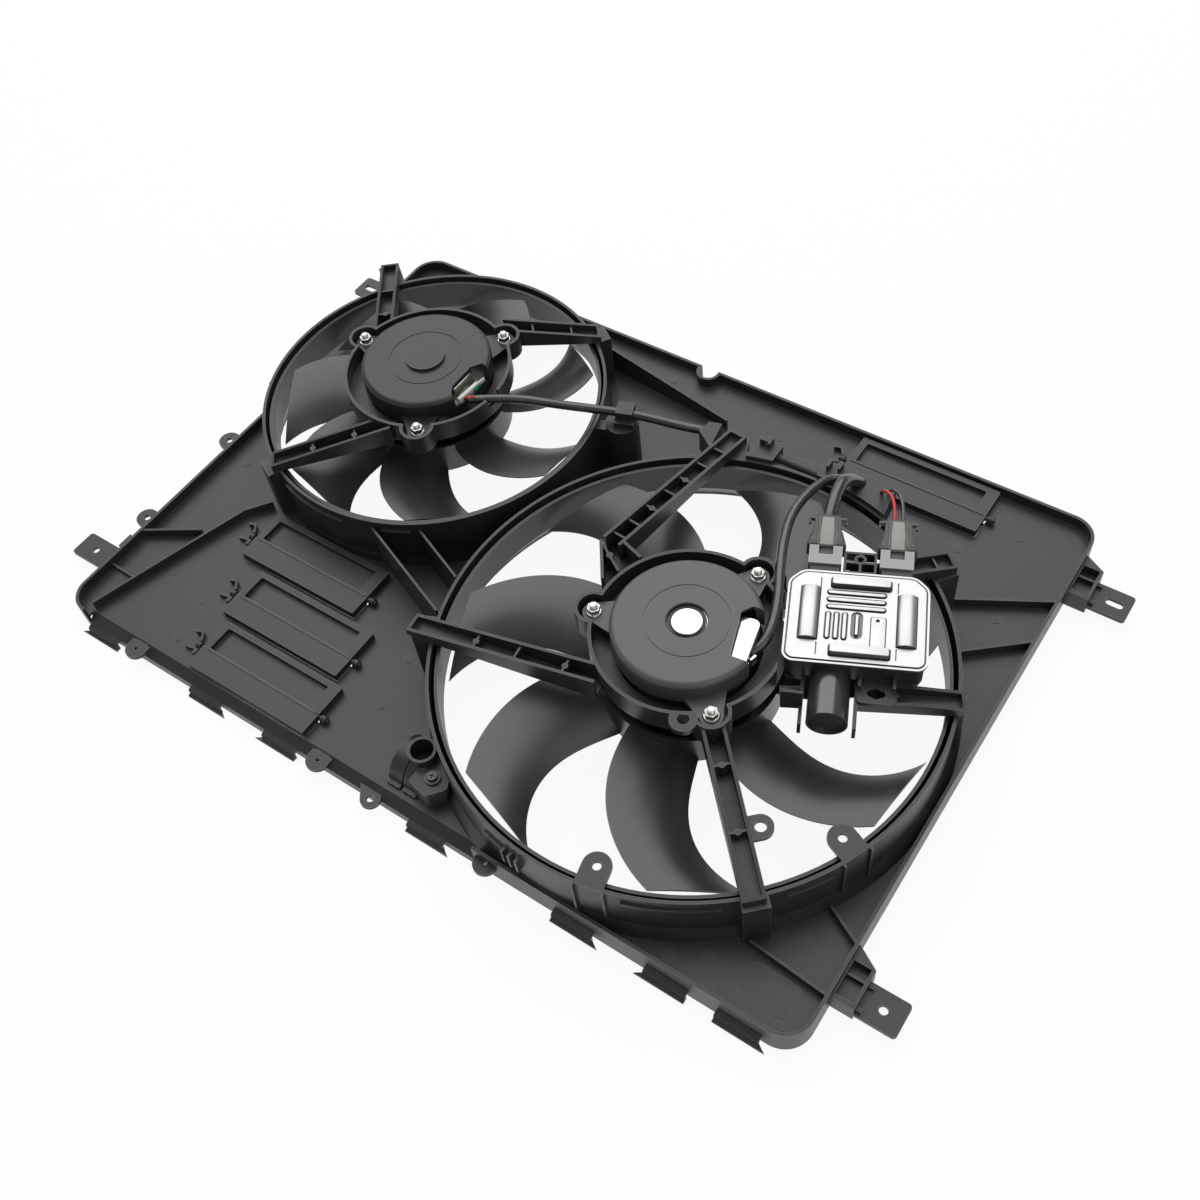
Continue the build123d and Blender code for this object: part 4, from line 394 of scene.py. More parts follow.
FINISHES = (
    Finish("black_plastic", Surface.MOULDED, (0.028, 0.028, 0.0285), (0.1, 0.1, 0.101), 0.4),
    Finish(
        "fan_plastic", Surface.MOULDED, (0.028, 0.028, 0.0285), (0.08, 0.08, 0.08), 0.34,
        relief=0.00002, gleam=0.75,
    ),
    Finish(
        "black_gloss", Surface.MOULDED, (0.04, 0.04, 0.0405), (0.09, 0.09, 0.09), 0.2,
        relief=0.00001, gleam=1.0,
    ),
    Finish("grey_plastic", Surface.MOULDED, (0.36, 0.36, 0.355), (0.5, 0.5, 0.49), 0.42, relief=0.00002),
    Finish("card_plastic", Surface.BOARD, (0.6, 0.6, 0.56), (0.42, 0.43, 0.38), 0.42),
    Finish("red_plastic", Surface.SLEEVE, (0.5, 0.02, 0.015), (0.62, 0.12, 0.1), 0.35),
    Finish("black_rubber", Surface.SLEEVE, (0.016, 0.016, 0.0165), (0.06, 0.06, 0.06), 0.24, gleam=0.95),
    Finish("black_paint", Surface.PAINTED, (0.017, 0.017, 0.0175), (0.08, 0.08, 0.08), 0.36),
    Finish("pressed_aluminium", Surface.EMBOSSED, (0.5, 0.5, 0.495), (0.36, 0.36, 0.36), 0.3, 60.0, 0.00002, 1.0),
    Finish("bright_steel", Surface.BRUSHED, (0.62, 0.61, 0.59), (0.4, 0.39, 0.37), 0.26, 60.0, 0.00002, 1.0),
    Finish("plated_cup", Surface.PLATED, (0.72, 0.72, 0.71), (0.5, 0.5, 0.5), 0.14, 300.0, 0.00001, 1.0),
    Finish("magnet", Surface.FERRITE, (0.06, 0.06, 0.06), (0.03, 0.03, 0.03), 0.6),
    Finish("copper_core", Surface.WOUND, (0.6, 0.3, 0.16), (0.38, 0.18, 0.09), 0.35, metallic=1.0),
    Finish("brass", Surface.BRUSHED, (0.62, 0.44, 0.22), (0.42, 0.3, 0.16), 0.3, 60.0, 0.00002, 1.0),
    Finish("circuit_board", Surface.BOARD, (0.03, 0.16, 0.07), (0.1, 0.34, 0.16), 0.35),
)
PLUG_FINISH = Finish(
    "black_plastic", Surface.MOULDED, (0.072, 0.072, 0.067), (0.19, 0.19, 0.18), 0.46, relief=0.00003
)
LATCH_FINISH = Finish(
    "black_plastic", Surface.MOULDED, (0.3, 0.3, 0.285), (0.44, 0.44, 0.42), 0.42, relief=0.00003
)
# Lighter copy of the black paint for the large motor's cover: painted light, as both covers carry the same paint.
LIT_PAINT_FINISH = Finish("black_paint", Surface.PAINTED, (0.075, 0.075, 0.0745), (0.15, 0.15, 0.15), 0.34)
# Near-black copy of the card for the large motor's brush card: painted shade inside the cover's cut-out.
SHADED_CARD_FINISH = Finish("card_plastic", Surface.MOULDED, (0.02, 0.02, 0.02), (0.06, 0.06, 0.06), 0.4)
DARK_STEEL_FINISH = Finish(
    "bright_steel", Surface.BRUSHED, (0.09, 0.09, 0.088), (0.05, 0.05, 0.05), 0.34, 60.0, 0.00002, 1.0
)
OLIVE_FINISH = Finish("card_plastic", Surface.PAINTED, (0.1, 0.095, 0.07), (0.2, 0.19, 0.15), 0.35)
PALE_CARD_FINISH = Finish("card_plastic", Surface.MOULDED, (0.78, 0.78, 0.74), (0.6, 0.6, 0.56), 0.4)
ENAMEL_FINISH = Finish("circuit_board", Surface.SLEEVE, (0.01, 0.17, 0.1), (0.1, 0.4, 0.26), 0.25)


@dataclass(frozen=True)
class Lead:
    """A lead that is held at both ends.

    Attributes:
        name: Name of the piece.
        node: The CAD node that it replaces.
        slot: Material slot.
        diameter: Outer diameter, in millimetres.
        length: Length along its line, in millimetres; not used.
        points: Route, in plan millimetres and heights.
    """

    name: str
    node: str
    slot: str
    diameter: float
    length: float
    points: tuple[tuple[float, float, float], ...]

    def make(self, finishes: dict[str, bpy.types.Material]) -> None:
        """Lay the lead as one smooth curve.

        Args:
            finishes: Materials by slot.
        """
        data = bpy.data.curves.new(self.name, "CURVE")
        data.dimensions = "3D"
        data.resolution_u = 12
        data.bevel_depth = self.diameter / 2000
        data.bevel_resolution = 6
        data.use_fill_caps = True
        spline = data.splines.new("NURBS")
        spline.points.add(len(self.points) - 1)
        for knot, point in zip(spline.points, self.points):
            knot.co = (*place(*point), 1.0)
        spline.order_u = 3
        spline.use_endpoint_u = True
        data.materials.append(finishes[self.slot])
        piece = bpy.data.objects.new(self.name, data)
        bpy.context.collection.objects.link(piece)
        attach(piece, "shroud")
        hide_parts(self.node)
        log.info("lead %s laid", self.name)


LEADS = (
    Lead("motor_lead_small", "small_motor_lead", "black_rubber", 7.5, 201.5, (
        (207, 304, 93), (224, 316, 92.5), (244, 330, 89), (270, 343, 84), (298, 358, 79),
        (320, 368, 77), (344, 375, 75.5), (367, 382, 72), (385.5, 391, 68))),
    Lead("motor_lead_large", "large_motor_lead", "black_rubber", 7.5, 225.5, (
        (530, 196, 91.5), (541, 209, 97.5), (540, 226, 102.5), (533, 247, 103.4), (520, 272, 103),
        (508, 298, 101), (498, 328, 96), (497, 358, 91), (502, 384, 84), (507, 400, 69))),
    Lead("sleeve_of_plug", "plug_sleeve", "black_rubber", 10.0, 73.3, (
        (523.43, 339.95, 91), (516, 364, 95), (514, 388, 88), (519, 402, 69))),
    Lead("supply_wire_red", "red_wire", "red_plastic", 2.6, 62.0, (
        (567.5, 360.22, 91), (560, 377, 94), (546, 391, 88), (537, 402, 69))),
    Lead("supply_wire_black", "black_wire", "black_rubber", 2.6, 62.0, (
        (572.95, 362.73, 91), (565, 382, 92), (549, 397, 86), (542, 404, 69))),
    Lead("motor_wire_red", "small_motor_red_wire", "red_plastic", 2.4, 16.8, (
        (199, 303, 88), (203, 303.6, 93), (207, 304, 96), (212, 306.5, 96.4))),
)


class Lie(Enum):
    """The ways a rod can lie in its own frame."""

    UPRIGHT = (0.0, 0.0, 0.0)
    ALONG = (0.0, math.pi / 2, 0.0)
    ACROSS = (math.pi / 2, 0.0, 0.0)


class Work:
    """One piece on the bench, shaped with the modelling operators in millimetres."""

    def __init__(self) -> None:
        self.piece = bpy.context.object
        bpy.ops.object.transform_apply(location=True, rotation=True, scale=True)

    @classmethod
    def block(cls, size: tuple, middle: tuple, turn: float = 0.0) -> "Work":
        """Start from a block.

        Args:
            size: Its three sides.
            middle: Its middle.
            turn: Degrees about the upright.

        Returns:
            The started piece.
        """
        bpy.ops.object.select_all(action="DESELECT")
        bpy.ops.mesh.primitive_cube_add(
            size=1.0, location=middle, rotation=(0, 0, math.radians(turn)), scale=size
        )
        return cls()

    @classmethod
    def rod(
        cls, radius: float, length: float, middle: tuple, lie: Lie = Lie.UPRIGHT, sides: int = 32,
        tip: float | None = None,
    ) -> "Work":
        """Start from a rod or a cone's frustum.

        Args:
            radius: Radius, at the low end.
            length: Length.
            middle: Its middle.
            lie: Which way it lies.
            sides: Flats around it.
            tip: Radius at the high end, when it differs.

        Returns:
            The started piece.
        """
        bpy.ops.object.select_all(action="DESELECT")
        bpy.ops.mesh.primitive_cone_add(
            vertices=sides, radius1=radius, radius2=radius if tip is None else tip, depth=length,
            location=middle, rotation=lie.value,
        )
        return cls()

    def _take(self) -> None:
        """Select this piece alone."""
        bpy.ops.object.select_all(action="DESELECT")
        self.piece.select_set(True)
        bpy.context.view_layer.objects.active = self.piece

    def _edit(self, kind: str, test: Callable[[Vector, Vector], bool], operator: Callable, **options) -> "Work":
        """Run an operator in edit mode on the faces or edges that pass a test."""
        self._take()
        bpy.ops.object.mode_set(mode="EDIT")
        bpy.ops.mesh.select_mode(type=kind)
        bpy.ops.mesh.select_all(action="DESELECT")
        mesh = bmesh.from_edit_mesh(self.piece.data)
        for item in mesh.faces if kind == "FACE" else mesh.edges:
            if kind == "FACE":
                middle, way = item.calc_center_median(), item.normal
            else:
                low, high = (vert.co for vert in item.verts)
                middle, way = (low + high) / 2, (high - low).normalized()
            if test(middle, way):
                item.select_set(True)
        mesh.select_flush_mode()
        bmesh.update_edit_mesh(self.piece.data)
        operator(**options)
        bpy.ops.object.mode_set(mode="OBJECT")
        return self

    def bevel(self, width: float, steps: int, test: Callable[[Vector, Vector], bool]) -> "Work":
        """Round or chamfer the edges whose middle and direction pass a test."""
        return self._edit("EDGE", test, bpy.ops.mesh.bevel, offset=width, segments=steps, affect="EDGES")

    def corners(self, width: float, steps: int) -> "Work":
        """Round the upright corners."""
        return self.bevel(width, steps, lambda middle, way: abs(way.z) > 0.9)

    def press(self, *strokes: tuple[float, float], high: bool = True) -> "Work":
        """Inset the largest level face again and again, each time up or down.

        Args:
            *strokes: Width of the inset and its rise, for each stroke.
            high: Whether it is the top face.

        Returns:
            This piece.
        """
        for width, rise in strokes:
            level = [face for face in self.piece.data.polygons if (face.normal.z if high else -face.normal.z) > 0.99]
            spot = max(level, key=lambda face: face.area).center.copy()
            self._edit(
                "FACE",
                lambda middle, way: abs(way.z) > 0.99 and (middle - spot).length < 0.01,
                bpy.ops.mesh.inset,
                thickness=width,
                depth=rise,
            )
        return self

    def taper(self, share: tuple, test: Callable[[Vector, Vector], bool], about: tuple) -> "Work":
        """Scale the faces that pass a test about a point."""
        return self._edit("FACE", test, bpy.ops.transform.resize, value=share, center_override=about)

    def soften(self, width: float, steps: int = 2, sharp: float = 40.0) -> "Work":
        """Round every edge sharper than an angle, in degrees."""
        self._take()
        made = self.piece.modifiers.new("soften", "BEVEL")
        made.width = width
        made.segments = steps
        made.limit_method = "ANGLE"
        made.angle_limit = math.radians(sharp)
        bpy.ops.object.modifier_apply(modifier=made.name)
        return self

    def cut(self, tool: "Work") -> "Work":
        """Take another piece's shape out of this one."""
        self._take()
        made = self.piece.modifiers.new("cut", "BOOLEAN")
        made.operation = "DIFFERENCE"
        made.solver = "EXACT"
        made.object = tool.piece
        bpy.ops.object.modifier_apply(modifier=made.name)
        bpy.data.objects.remove(tool.piece)
        return self

    def join(self, *others: "Work") -> "Work":
        """Put other pieces into this one."""
        self._take()
        for other in others:
            other.piece.select_set(True)
        bpy.ops.object.join()
        return self

    def copy(self, shift: tuple, turn: float = 0.0) -> "Work":
        """Copy this piece with its own mesh, turned in degrees and then shifted."""
        self._take()
        bpy.ops.object.duplicate()
        twin = bpy.context.object
        twin.matrix_world = Matrix.Translation(shift) @ Matrix.Rotation(math.radians(turn), 4, "Z")
        return Work()

    def finish(
        self, name: str, home: Matrix, material: bpy.types.Material, slot: str, stands_for: tuple = (),
        body: str = "shroud",
    ) -> None:
        """Args:
            name: Name of the piece.
            home: Its millimetre frame, in the CAD frame.
            material: Its finish.
            slot: The record's material slot; not used.
            stands_for: CAD nodes that it replaces.
            body: Body that it moves with.
        """
        self.piece.matrix_world = home
        self._take()
        bpy.ops.object.transform_apply(location=True, rotation=True, scale=True)
        bpy.ops.object.mode_set(mode="EDIT")
        bpy.ops.mesh.select_all(action="SELECT")
        bpy.ops.mesh.remove_doubles(threshold=WELD)
        bpy.ops.mesh.dissolve_degenerate(threshold=WELD)
        bpy.ops.mesh.normals_make_consistent(inside=False)
        bpy.ops.object.mode_set(mode="OBJECT")
        bpy.ops.object.shade_smooth_by_angle(angle=math.radians(SMOOTH_BELOW))
        self.piece.name = self.piece.data.name = name
        self.piece.data.materials.clear()
        self.piece.data.materials.append(material)
        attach(self.piece, body)
        if stands_for:
            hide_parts(*stands_for)
        log.info("piece %s made", name)


SMOOTH_BELOW = 32.0
WELD = 0.000002


def home_at(x: float, y: float, z: float, turn: float = 0.0) -> Matrix:
    """A millimetre frame that stands at a plan position, turned in degrees.

    Args:
        x: Distance along the tray.
        y: Distance from the clipped edge.
        z: Height.
        turn: Degrees about the upright.

    Returns:
        The frame's matrix.
    """
    spin = Matrix.Rotation(math.radians(turn), 4, "Z")
    return Matrix.Translation(place(x, y, z)) @ spin @ Matrix.Scale(0.001, 4)


MODULE_HOME = (586.3, 264.3, 80.0, 24.7)


@dataclass(frozen=True)
class PressedCover:
    """Pressed aluminium cover of the control module, in the module's millimetre frame.

    Attributes:
        size: Length, width and thickness of the flange.
        seat: Height of its underside.
        clip: Chamfer at the plugs' side, and the corners' radius.
        strokes: Rim, gutter and shoulder, each as an inset's width and rise.
        moat: Height of the moats' floors.
        foot: Height of the pads' lower ends, inside the sheet.
        bars: End bars, as x, y, length, width.
        rows: Heights across of the long beads.
        posts: Places along of the short beads.
        rolls: Side bars, as x, y and length.
        lines: Short scribed lines beside the side bars, as x, y and length.
    """

    size: tuple = (100.0, 80.0, 2.2)
    seat: float = 18.0
    clip: tuple = (10.0, 8.0)
    strokes: tuple = ((1.5, 0.0), (0.35, -0.8), (0.55, 0.0), (0.35, 1.3))
    moat: float = 19.65
    foot: float = 19.2
    bars: tuple = ((1.8, 29.3, 41.0, 7.6), (3.0, -29.2, 40.5, 7.8))
    rows: tuple = (20.6, 14.3, 8.0)
    posts: tuple = (-20.0, -14.1, -8.3)
    rolls: tuple = ((-33.4, 1.6, 45.0), (34.6, -0.2, 44.0))
    lines: tuple = ((-26.6, 29.0, 9.0), (-26.8, -28.4, 11.0), (27.6, 28.2, 10.0), (28.0, -28.6, 10.0))

    def pad(self, x: float, y: float, size: tuple, high: float, corner: float, draft: float = 0.0) -> Work:
        """A pad with rounded plan corners and drafted walls.

        Args:
            x: Middle along the module.
            y: Middle across the module.
            size: Length and width of its top.
            high: Height of its top.
            corner: Radius of its plan corners.
            draft: How far the walls run out to the foot.

        Returns:
            The pad.
        """
        long, wide = (part + 2 * draft for part in size)
        made = Work.block((long, wide, high - self.foot), (x, y, (self.foot + high) / 2))
        made.corners(corner, 6)
        if draft:
            made.taper((size[0] / long, size[1] / wide, 1), lambda middle, way: way.z > 0.9, (x, y, high))
        return made

    def sink(self, x: float, y: float, size: tuple, corner: float) -> Work:
        """The tool that sinks one moat into the sheet."""
        made = Work.block((*size, 4.0), (x, y, self.moat + 2.0))
        return made.corners(corner, 6)

    def build(self, finishes: dict[str, bpy.types.Material]) -> None:
        """Press the sheet, sink the moats and raise the pads in them.

        Args:
            finishes: Materials by slot.
        """
        chamfer, radius = self.clip
        sheet = Work.block(self.size, (0, 0, self.seat + self.size[2] / 2))
        sheet.bevel(chamfer, 1, lambda middle, way: abs(way.z) > 0.9 and middle.y > 0)
        sheet.bevel(radius, 7, lambda middle, way: abs(way.z) > 0.9 and middle.y < 0)
        sheet.bevel(radius / 2, 4, lambda middle, way: abs(way.z) > 0.9 and middle.y > 0)
        sheet.press(*self.strokes)
        moats, pads = [], []
        for x, y, long, wide in self.bars:
            moats.append(self.sink(x, y, (long + 2.6, wide + 2.6), 2.0))
            pads.append(self.pad(x, y, (long, wide - 1.0), 24.8, 1.8, 1.1).soften(0.4, 2, 30.0))
        for y in self.rows:
            moats.append(self.sink(-1, y, (42.6, 5.1), 2.54))
            pads.append(self.pad(-1, y, (40.2, 2.6), 21.8, 1.8, 0.6).soften(0.35, 2, 30.0))
        for x in self.posts:
            moats.append(self.sink(x, -8.2, (4.9, 24.4), 2.44))
            pads.append(self.pad(x, -8.2, (2.4, 22.0), 21.8, 1.7, 0.6).soften(0.35, 2, 30.0))
        moats.append(self.sink(0.2, -6.6, (8.4, 23.4), 4.19))
        pads.append(self.pad(0.2, -6.6, (2.0, 17.6), 22.0, 1.6, 0.7).soften(0.35, 2, 30.0))
        moats.append(self.sink(15.1, -11.3, (11.4, 26.4), 1.8))
        pads.append(
            self.pad(15.1, -11.3, (10.0, 25.0), 21.4, 1.2)
            .cut(Work.rod(1.3, 6.0, (14.6, -1.6, 21.0)))
            .soften(0.2, 2, 60.0)
        )
        for x, y, long in self.rolls:
            moats.append(self.sink(x, y, (14.6, long + 1.4), 1.0))
            roll = Work.rod(6.9, long, (x, y, 0), Lie.ACROSS, 64)
            roll.taper((1, 1, 0.5), lambda middle, way: True, (x, y, 0))
            roll.soften(0.4, 2, 60.0)
            pads.append(roll.copy((0, 0, 20.6)))
            bpy.data.objects.remove(roll.piece)
        for x, y, long in self.lines:
            moats.append(self.sink(x, y, (0.9, long), 0.4))
        for moat in moats:
            sheet.cut(moat)
        sheet.join(*pads)
        sheet.finish(
            "embossed_cover", home_at(*MODULE_HOME), finishes["pressed_aluminium"], "pressed_aluminium",
            ("module_cover",),
        )


@dataclass(frozen=True)
class Plug:
    """A sealed plug on the control module, in the module's millimetre frame.

    Attributes:
        name: Name of the piece.
        node: CAD node that it replaces.
        x: Its place along the module.
        wires: Places of its wire seals beside the middle, and their radius.
    """

    name: str
    node: str
    x: float
    wires: tuple[tuple[float, float], ...]

    def part(self, size: tuple, shift: float, y: float, z: float, soft: float) -> Work:
        """A block with rounded edges, beside the plug's middle."""
        return Work.block(size, (self.x + shift, y, z)).soften(soft, 3)

    def build(self, material: bpy.types.Material, pale: bpy.types.Material) -> None:
        """Build body, skirt, cheeks, wings and seals, and then the latch.

        Args:
            material: The plug's finish.
            pale: The latch's finish.
        """
        x = self.x
        body = Work.block((21.4, 31, 12.8), (x, 80.5, 11.0))
        body.taper((0.84, 1, 0.9), lambda middle, way: way.y > 0.9, (x, 96, 10.6)).soften(1.6, 3)
        skirt = Work.block((30.0, 17.0, 15.6), (x, 73.6, 11.0))
        skirt.taper((0.72, 1, 0.84), lambda middle, way: way.y > 0.9, (x, 82, 10.6))
        skirt.soften(2.6, 4).cut(Work.block((12.4, 22.0, 5.6), (x, 73.6, 19.4)))
        skirt.cut(Work.block((31.0, 1.0, 3.0), (x, 68.6, 19.2)))
        parts = [skirt]
        for side in (-1, 1):
            cheek = Work.block((4.4, 24.0, 6.0), (x + side * 8.6, 80.4, 15.6))
            cheek.taper((0.72, 1, 0.8), lambda middle, way: way.y > 0.9, (x + side * 7.4, 92, 14))
            parts.append(cheek.soften(1.0, 3))
            wing = self.part((6.6, 2.6, 3.4), side * 10.9, 92.6, 14.6, 0.6)
            parts.append(wing.join(self.part((1.8, 5.4, 3.0), side * 13.4, 90.8, 13.6, 0.5)))
        parts.append(self.part((19.4, 14.0, 8.4), 0, 59.4, 10.6, 0.8))
        for shift, radius in self.wires:
            seal = Work.rod(radius, 3.2, (x + shift, 96.6, 11), Lie.ACROSS, 24)
            parts.append(seal.soften(0.5, 2))
        body.join(*parts)
        body.finish(self.name, home_at(*MODULE_HOME), material, "black_plastic", (self.node,))
        latch = Work.block((10.6, 14.6, 4.0), (x, 73.4, 17.0))
        latch.taper((0.96, 1, 0.6), lambda middle, way: way.y < -0.9, (x, 66.0, 15.6)).soften(0.8, 3)
        heel = Work.block((10.2, 11.8, 3.0), (x, 87.2, 16.4))
        heel.taper((0.84, 1, 0.8), lambda middle, way: way.y > 0.9, (x, 93, 15.6)).soften(0.7, 3)
        hinge = self.part((7.4, 1.6, 1.2), 0, 81.0, 17.4, 0.4)
        latch.join(heel, hinge).finish(
            f"{self.name}_latch", home_at(*MODULE_HOME), pale, "black_plastic"
        )


@dataclass(frozen=True)
class StudNuts:
    """Flange nuts on threaded studs, at a motor's three ears.

    Attributes:
        motor: Which motor, as the nodes name it.
        axis: Motor's axis, in the plan.
        angles: Ears' angles in degrees.
        ear: Height of the ears' upper side.
        foot: Height of the studs' lower ends.
    """

    motor: str
    axis: tuple[float, float]
    angles: tuple[float, float, float]
    ear: float
    foot: float = 79.0
    pitch_radius: float = 71.0
    stud: float = 2.9

    def nut(self) -> Work:
        """One hexagon nut with its flange, standing on level 0."""
        flange = Work.rod(6.4, 1.2, (0, 0, 0.6), sides=40, tip=5.5).soften(0.25, 2, 25.0)
        hexagon = Work.rod(5.3, 4.8, (0, 0, 3.3), sides=6)
        hexagon.bevel(0.55, 2, lambda middle, way: middle.z > 5.0)
        hexagon.soften(0.22, 2, 50.0)
        collar = Work.rod(4.1, 0.5, (0, 0, 5.8), sides=32, tip=3.7)
        return flange.join(hexagon, collar)

    def stud_end(self) -> Work:
        """One stud with its thread and its dog point."""
        low = self.foot - self.ear
        shank = Work.rod(self.stud - 0.25, 6.2 - low, (0, 0, (6.2 + low) / 2), sides=24)
        rings = []
        for turn in range(4):
            ring = Work.rod(self.stud, 0.74, (0, 0, 5.8 + turn * 0.75), sides=24)
            rings.append(ring.bevel(0.34, 1, lambda middle, way: abs(way.z) < 0.5))
        point = Work.rod(self.stud - 0.6, 3.4, (0, 0, 7.2), sides=24).soften(0.45, 2)
        return shank.join(point, *rings)

    def build(self, finishes: dict[str, bpy.types.Material]) -> None:
        """Model one of each and copy it to the three ears.

        Args:
            finishes: Materials by slot.
        """
        steel = finishes["bright_steel"]
        home = home_at(*self.axis, self.ear)
        rows = (("flange_nuts", "nuts", self.nut()), ("threaded_studs", "studs", self.stud_end()))
        for kind, node, first in rows:
            copies = []
            for angle in self.angles:
                turn = math.radians(angle)
                spot = (self.pitch_radius * math.cos(turn), self.pitch_radius * math.sin(turn), 0)
                copies.append(first.copy(spot, angle * 1.7))
            bpy.data.objects.remove(first.piece)
            copies[0].join(*copies[1:])
            copies[0].finish(
                f"{self.motor}_{kind}", home, steel, "bright_steel", (f"{self.motor}_motor_{node}",)
            )


@dataclass(frozen=True)
class BrushGear:
    """What shows on the brush cards through the covers' cut-outs.

    Attributes:
        small_axis: Small motor's axis, in the plan.
        large_axis: Large motor's axis, in the plan.
        small_card: Height of the small motor's card.
        large_card: Height of the large motor's card.
    """

    small_axis: tuple[float, float] = (153.0, 316.8)
    large_axis: tuple[float, float] = (487.9, 197.0)
    small_card: float = 89.2
    large_card: float = 92.2

    def build(self, finishes: dict[str, bpy.types.Material]) -> None:
        """Build plates, terminal and choke.

        Args:
            finishes: Materials by slot.
        """
        home = home_at(*self.small_axis, self.small_card)
        steel, card = finishes["plated_cup"], finishes["card_plastic"]
        wall = Work.block((1.2, 24, 11.6), (41.2, -3.0, 5.8)).soften(0.4, 2)
        lip = Work.block((3.4, 24, 0.9), (40.2, -3.0, 11.4)).soften(0.35, 2)
        tray = Work.block((6.0, 20, 0.9), (44.4, -4.0, 0.6), 0.0).soften(0.3, 2)
        wall.join(lip, tray).finish("small_contact_plate", home, steel, "plated_cup")
        face = Work.block((0.8, 23, 9.8), (42.1, -3.0, 5.2)).soften(0.3, 2)
        face.finish("small_contact_face", home, OLIVE_FINISH.make(), "card_plastic")
        rail = Work.block((3.6, 24, 5.4), (48.4, -6.4, 4.0), -5.0)
        rail.bevel(1.2, 3, lambda middle, way: middle.z > 6.0).soften(0.3, 2)
        post = Work.block((2.0, 9.0, 4.0), (49.8, 9.0, 3.4), -8.0).soften(0.6, 3)
        rail.join(post).finish("small_terminal_block", home, PALE_CARD_FINISH.make(), "card_plastic")
        choke = Work.rod(1.9, 8.0, (51.0, 2.2, 3.4), Lie.ACROSS, 20).soften(0.4, 2)
        coils = [Work.rod(2.3, 0.5, (51.0, -0.8 + 0.9 * turn, 3.4), Lie.ACROSS, 20).soften(0.2, 2) for turn in range(7)]
        choke.join(*coils).finish("small_choke", home, ENAMEL_FINISH.make(), "circuit_board")
        home = home_at(*self.large_axis, self.large_card)
        plate = Work.block((18.0, 37, 11.4), (39.3, 10.0, 5.9), 13.0)
        plate.bevel(6.0, 8, lambda middle, way: abs(way.z) > 0.9 and middle.x > 40 and middle.y > 10)
        plate.soften(0.9, 4).finish("large_contact_plate", home, steel, "plated_cup")
        clip = Work.block((2.2, 6.0, 8.5), (53.0, 1.2, 4.4), -14.0).soften(0.5, 2)
        tab = Work.block((2.2, 5.0, 8.0), (51.6, -6.4, 4.2), -16.0).soften(0.4, 2)
        clip.join(tab).finish("large_terminal_clips", home, steel, "plated_cup")


@dataclass(frozen=True)
class BearingCap:
    """Plated cap in a dark seat, in the middle of the large motor's cover.

    Attributes:
        axis: Motor's axis, in the plan.
        top: Height of the cover's face.
        cap: Radius of the cap.
        seat: Radius of the seat.
    """

    axis: tuple[float, float] = (487.9, 197.0)
    top: float = 109.0
    cap: float = 11.6
    seat: float = 15.5

    def build(self, finishes: dict[str, bpy.types.Material]) -> None:
        """Build the cap and the seat around it.

        Args:
            finishes: Materials by slot.
        """
        home = home_at(*self.axis, self.top)
        disc = Work.rod(self.cap, 2.6, (0, 0, -2.6), sides=64)
        disc.bevel(0.9, 4, lambda middle, way: middle.z > -1.4)
        disc.press((1.4, 0.0), (0.5, -0.25))
        sleeve = Work.rod(13.5, 10.0, (0, 0, -9.0), sides=64)
        disc.join(sleeve.cut(Work.rod(11.0, 11.0, (0, 0, -9.6), sides=64)))
        slit = Work.rod(14.7, 1.6, (0, 0, -3.0), sides=64)
        slit.cut(Work.rod(14.2, 3.0, (0, 0, -3.0), sides=64))
        disc.join(slit.cut(Work.block((30, 40, 4), (-6.5, 0, -3.0), 18.0)))
        disc.finish("bearing_cap", home, finishes["plated_cup"], "plated_cup", ("large_motor_bearing_cup",))
        ring = Work.rod(self.seat, 4.2, (0, 0, -2.5), sides=64)
        ring.cut(Work.rod(self.seat - 0.8, 3.4, (0, 0, -1.7), sides=64)).soften(0.25, 2, 50.0)
        ring.cut(Work.rod(self.cap - 0.6, 9.0, (0, 0, -2.5), sides=64))
        ring.finish("bearing_seat_ring", home, finishes["black_paint"], "black_paint")


@dataclass(frozen=True)
class FlapLip:
    """Thin lip under a relief flap's back, which closes the gap to its window.

    Attributes:
        number: The flap's number.
        axis: Middle of its trunnions, in the plan.
        length: Length over the lip.
        back: How far it reaches behind the trunnions.
        front: Where its arms end behind the trunnions.
    """

    number: int
    axis: tuple[float, float]
    length: float = 125.8
    back: float = 19.9
    front: float = 3.0

    def build(self, finishes: dict[str, bpy.types.Material]) -> None:
        """Build the lip as one frame, open to the front.

        Args:
            finishes: Materials by slot.
        """
        deep = self.back - self.front
        middle = (0, -(self.back + self.front) / 2, 0)
        frame_piece = Work.block((self.length, deep, 1.5), middle)
        inner = Work.block((self.length - 5, deep, 4), (0, middle[1] + 2.6, 0))
        frame_piece.cut(inner).soften(0.25, 2)
        home = home_at(*self.axis, 16.2)
        frame_piece.finish(
            f"flap_{self.number}_lip", home, finishes["black_rubber"], "black_rubber",
            body=f"flap_{self.number}",
        )


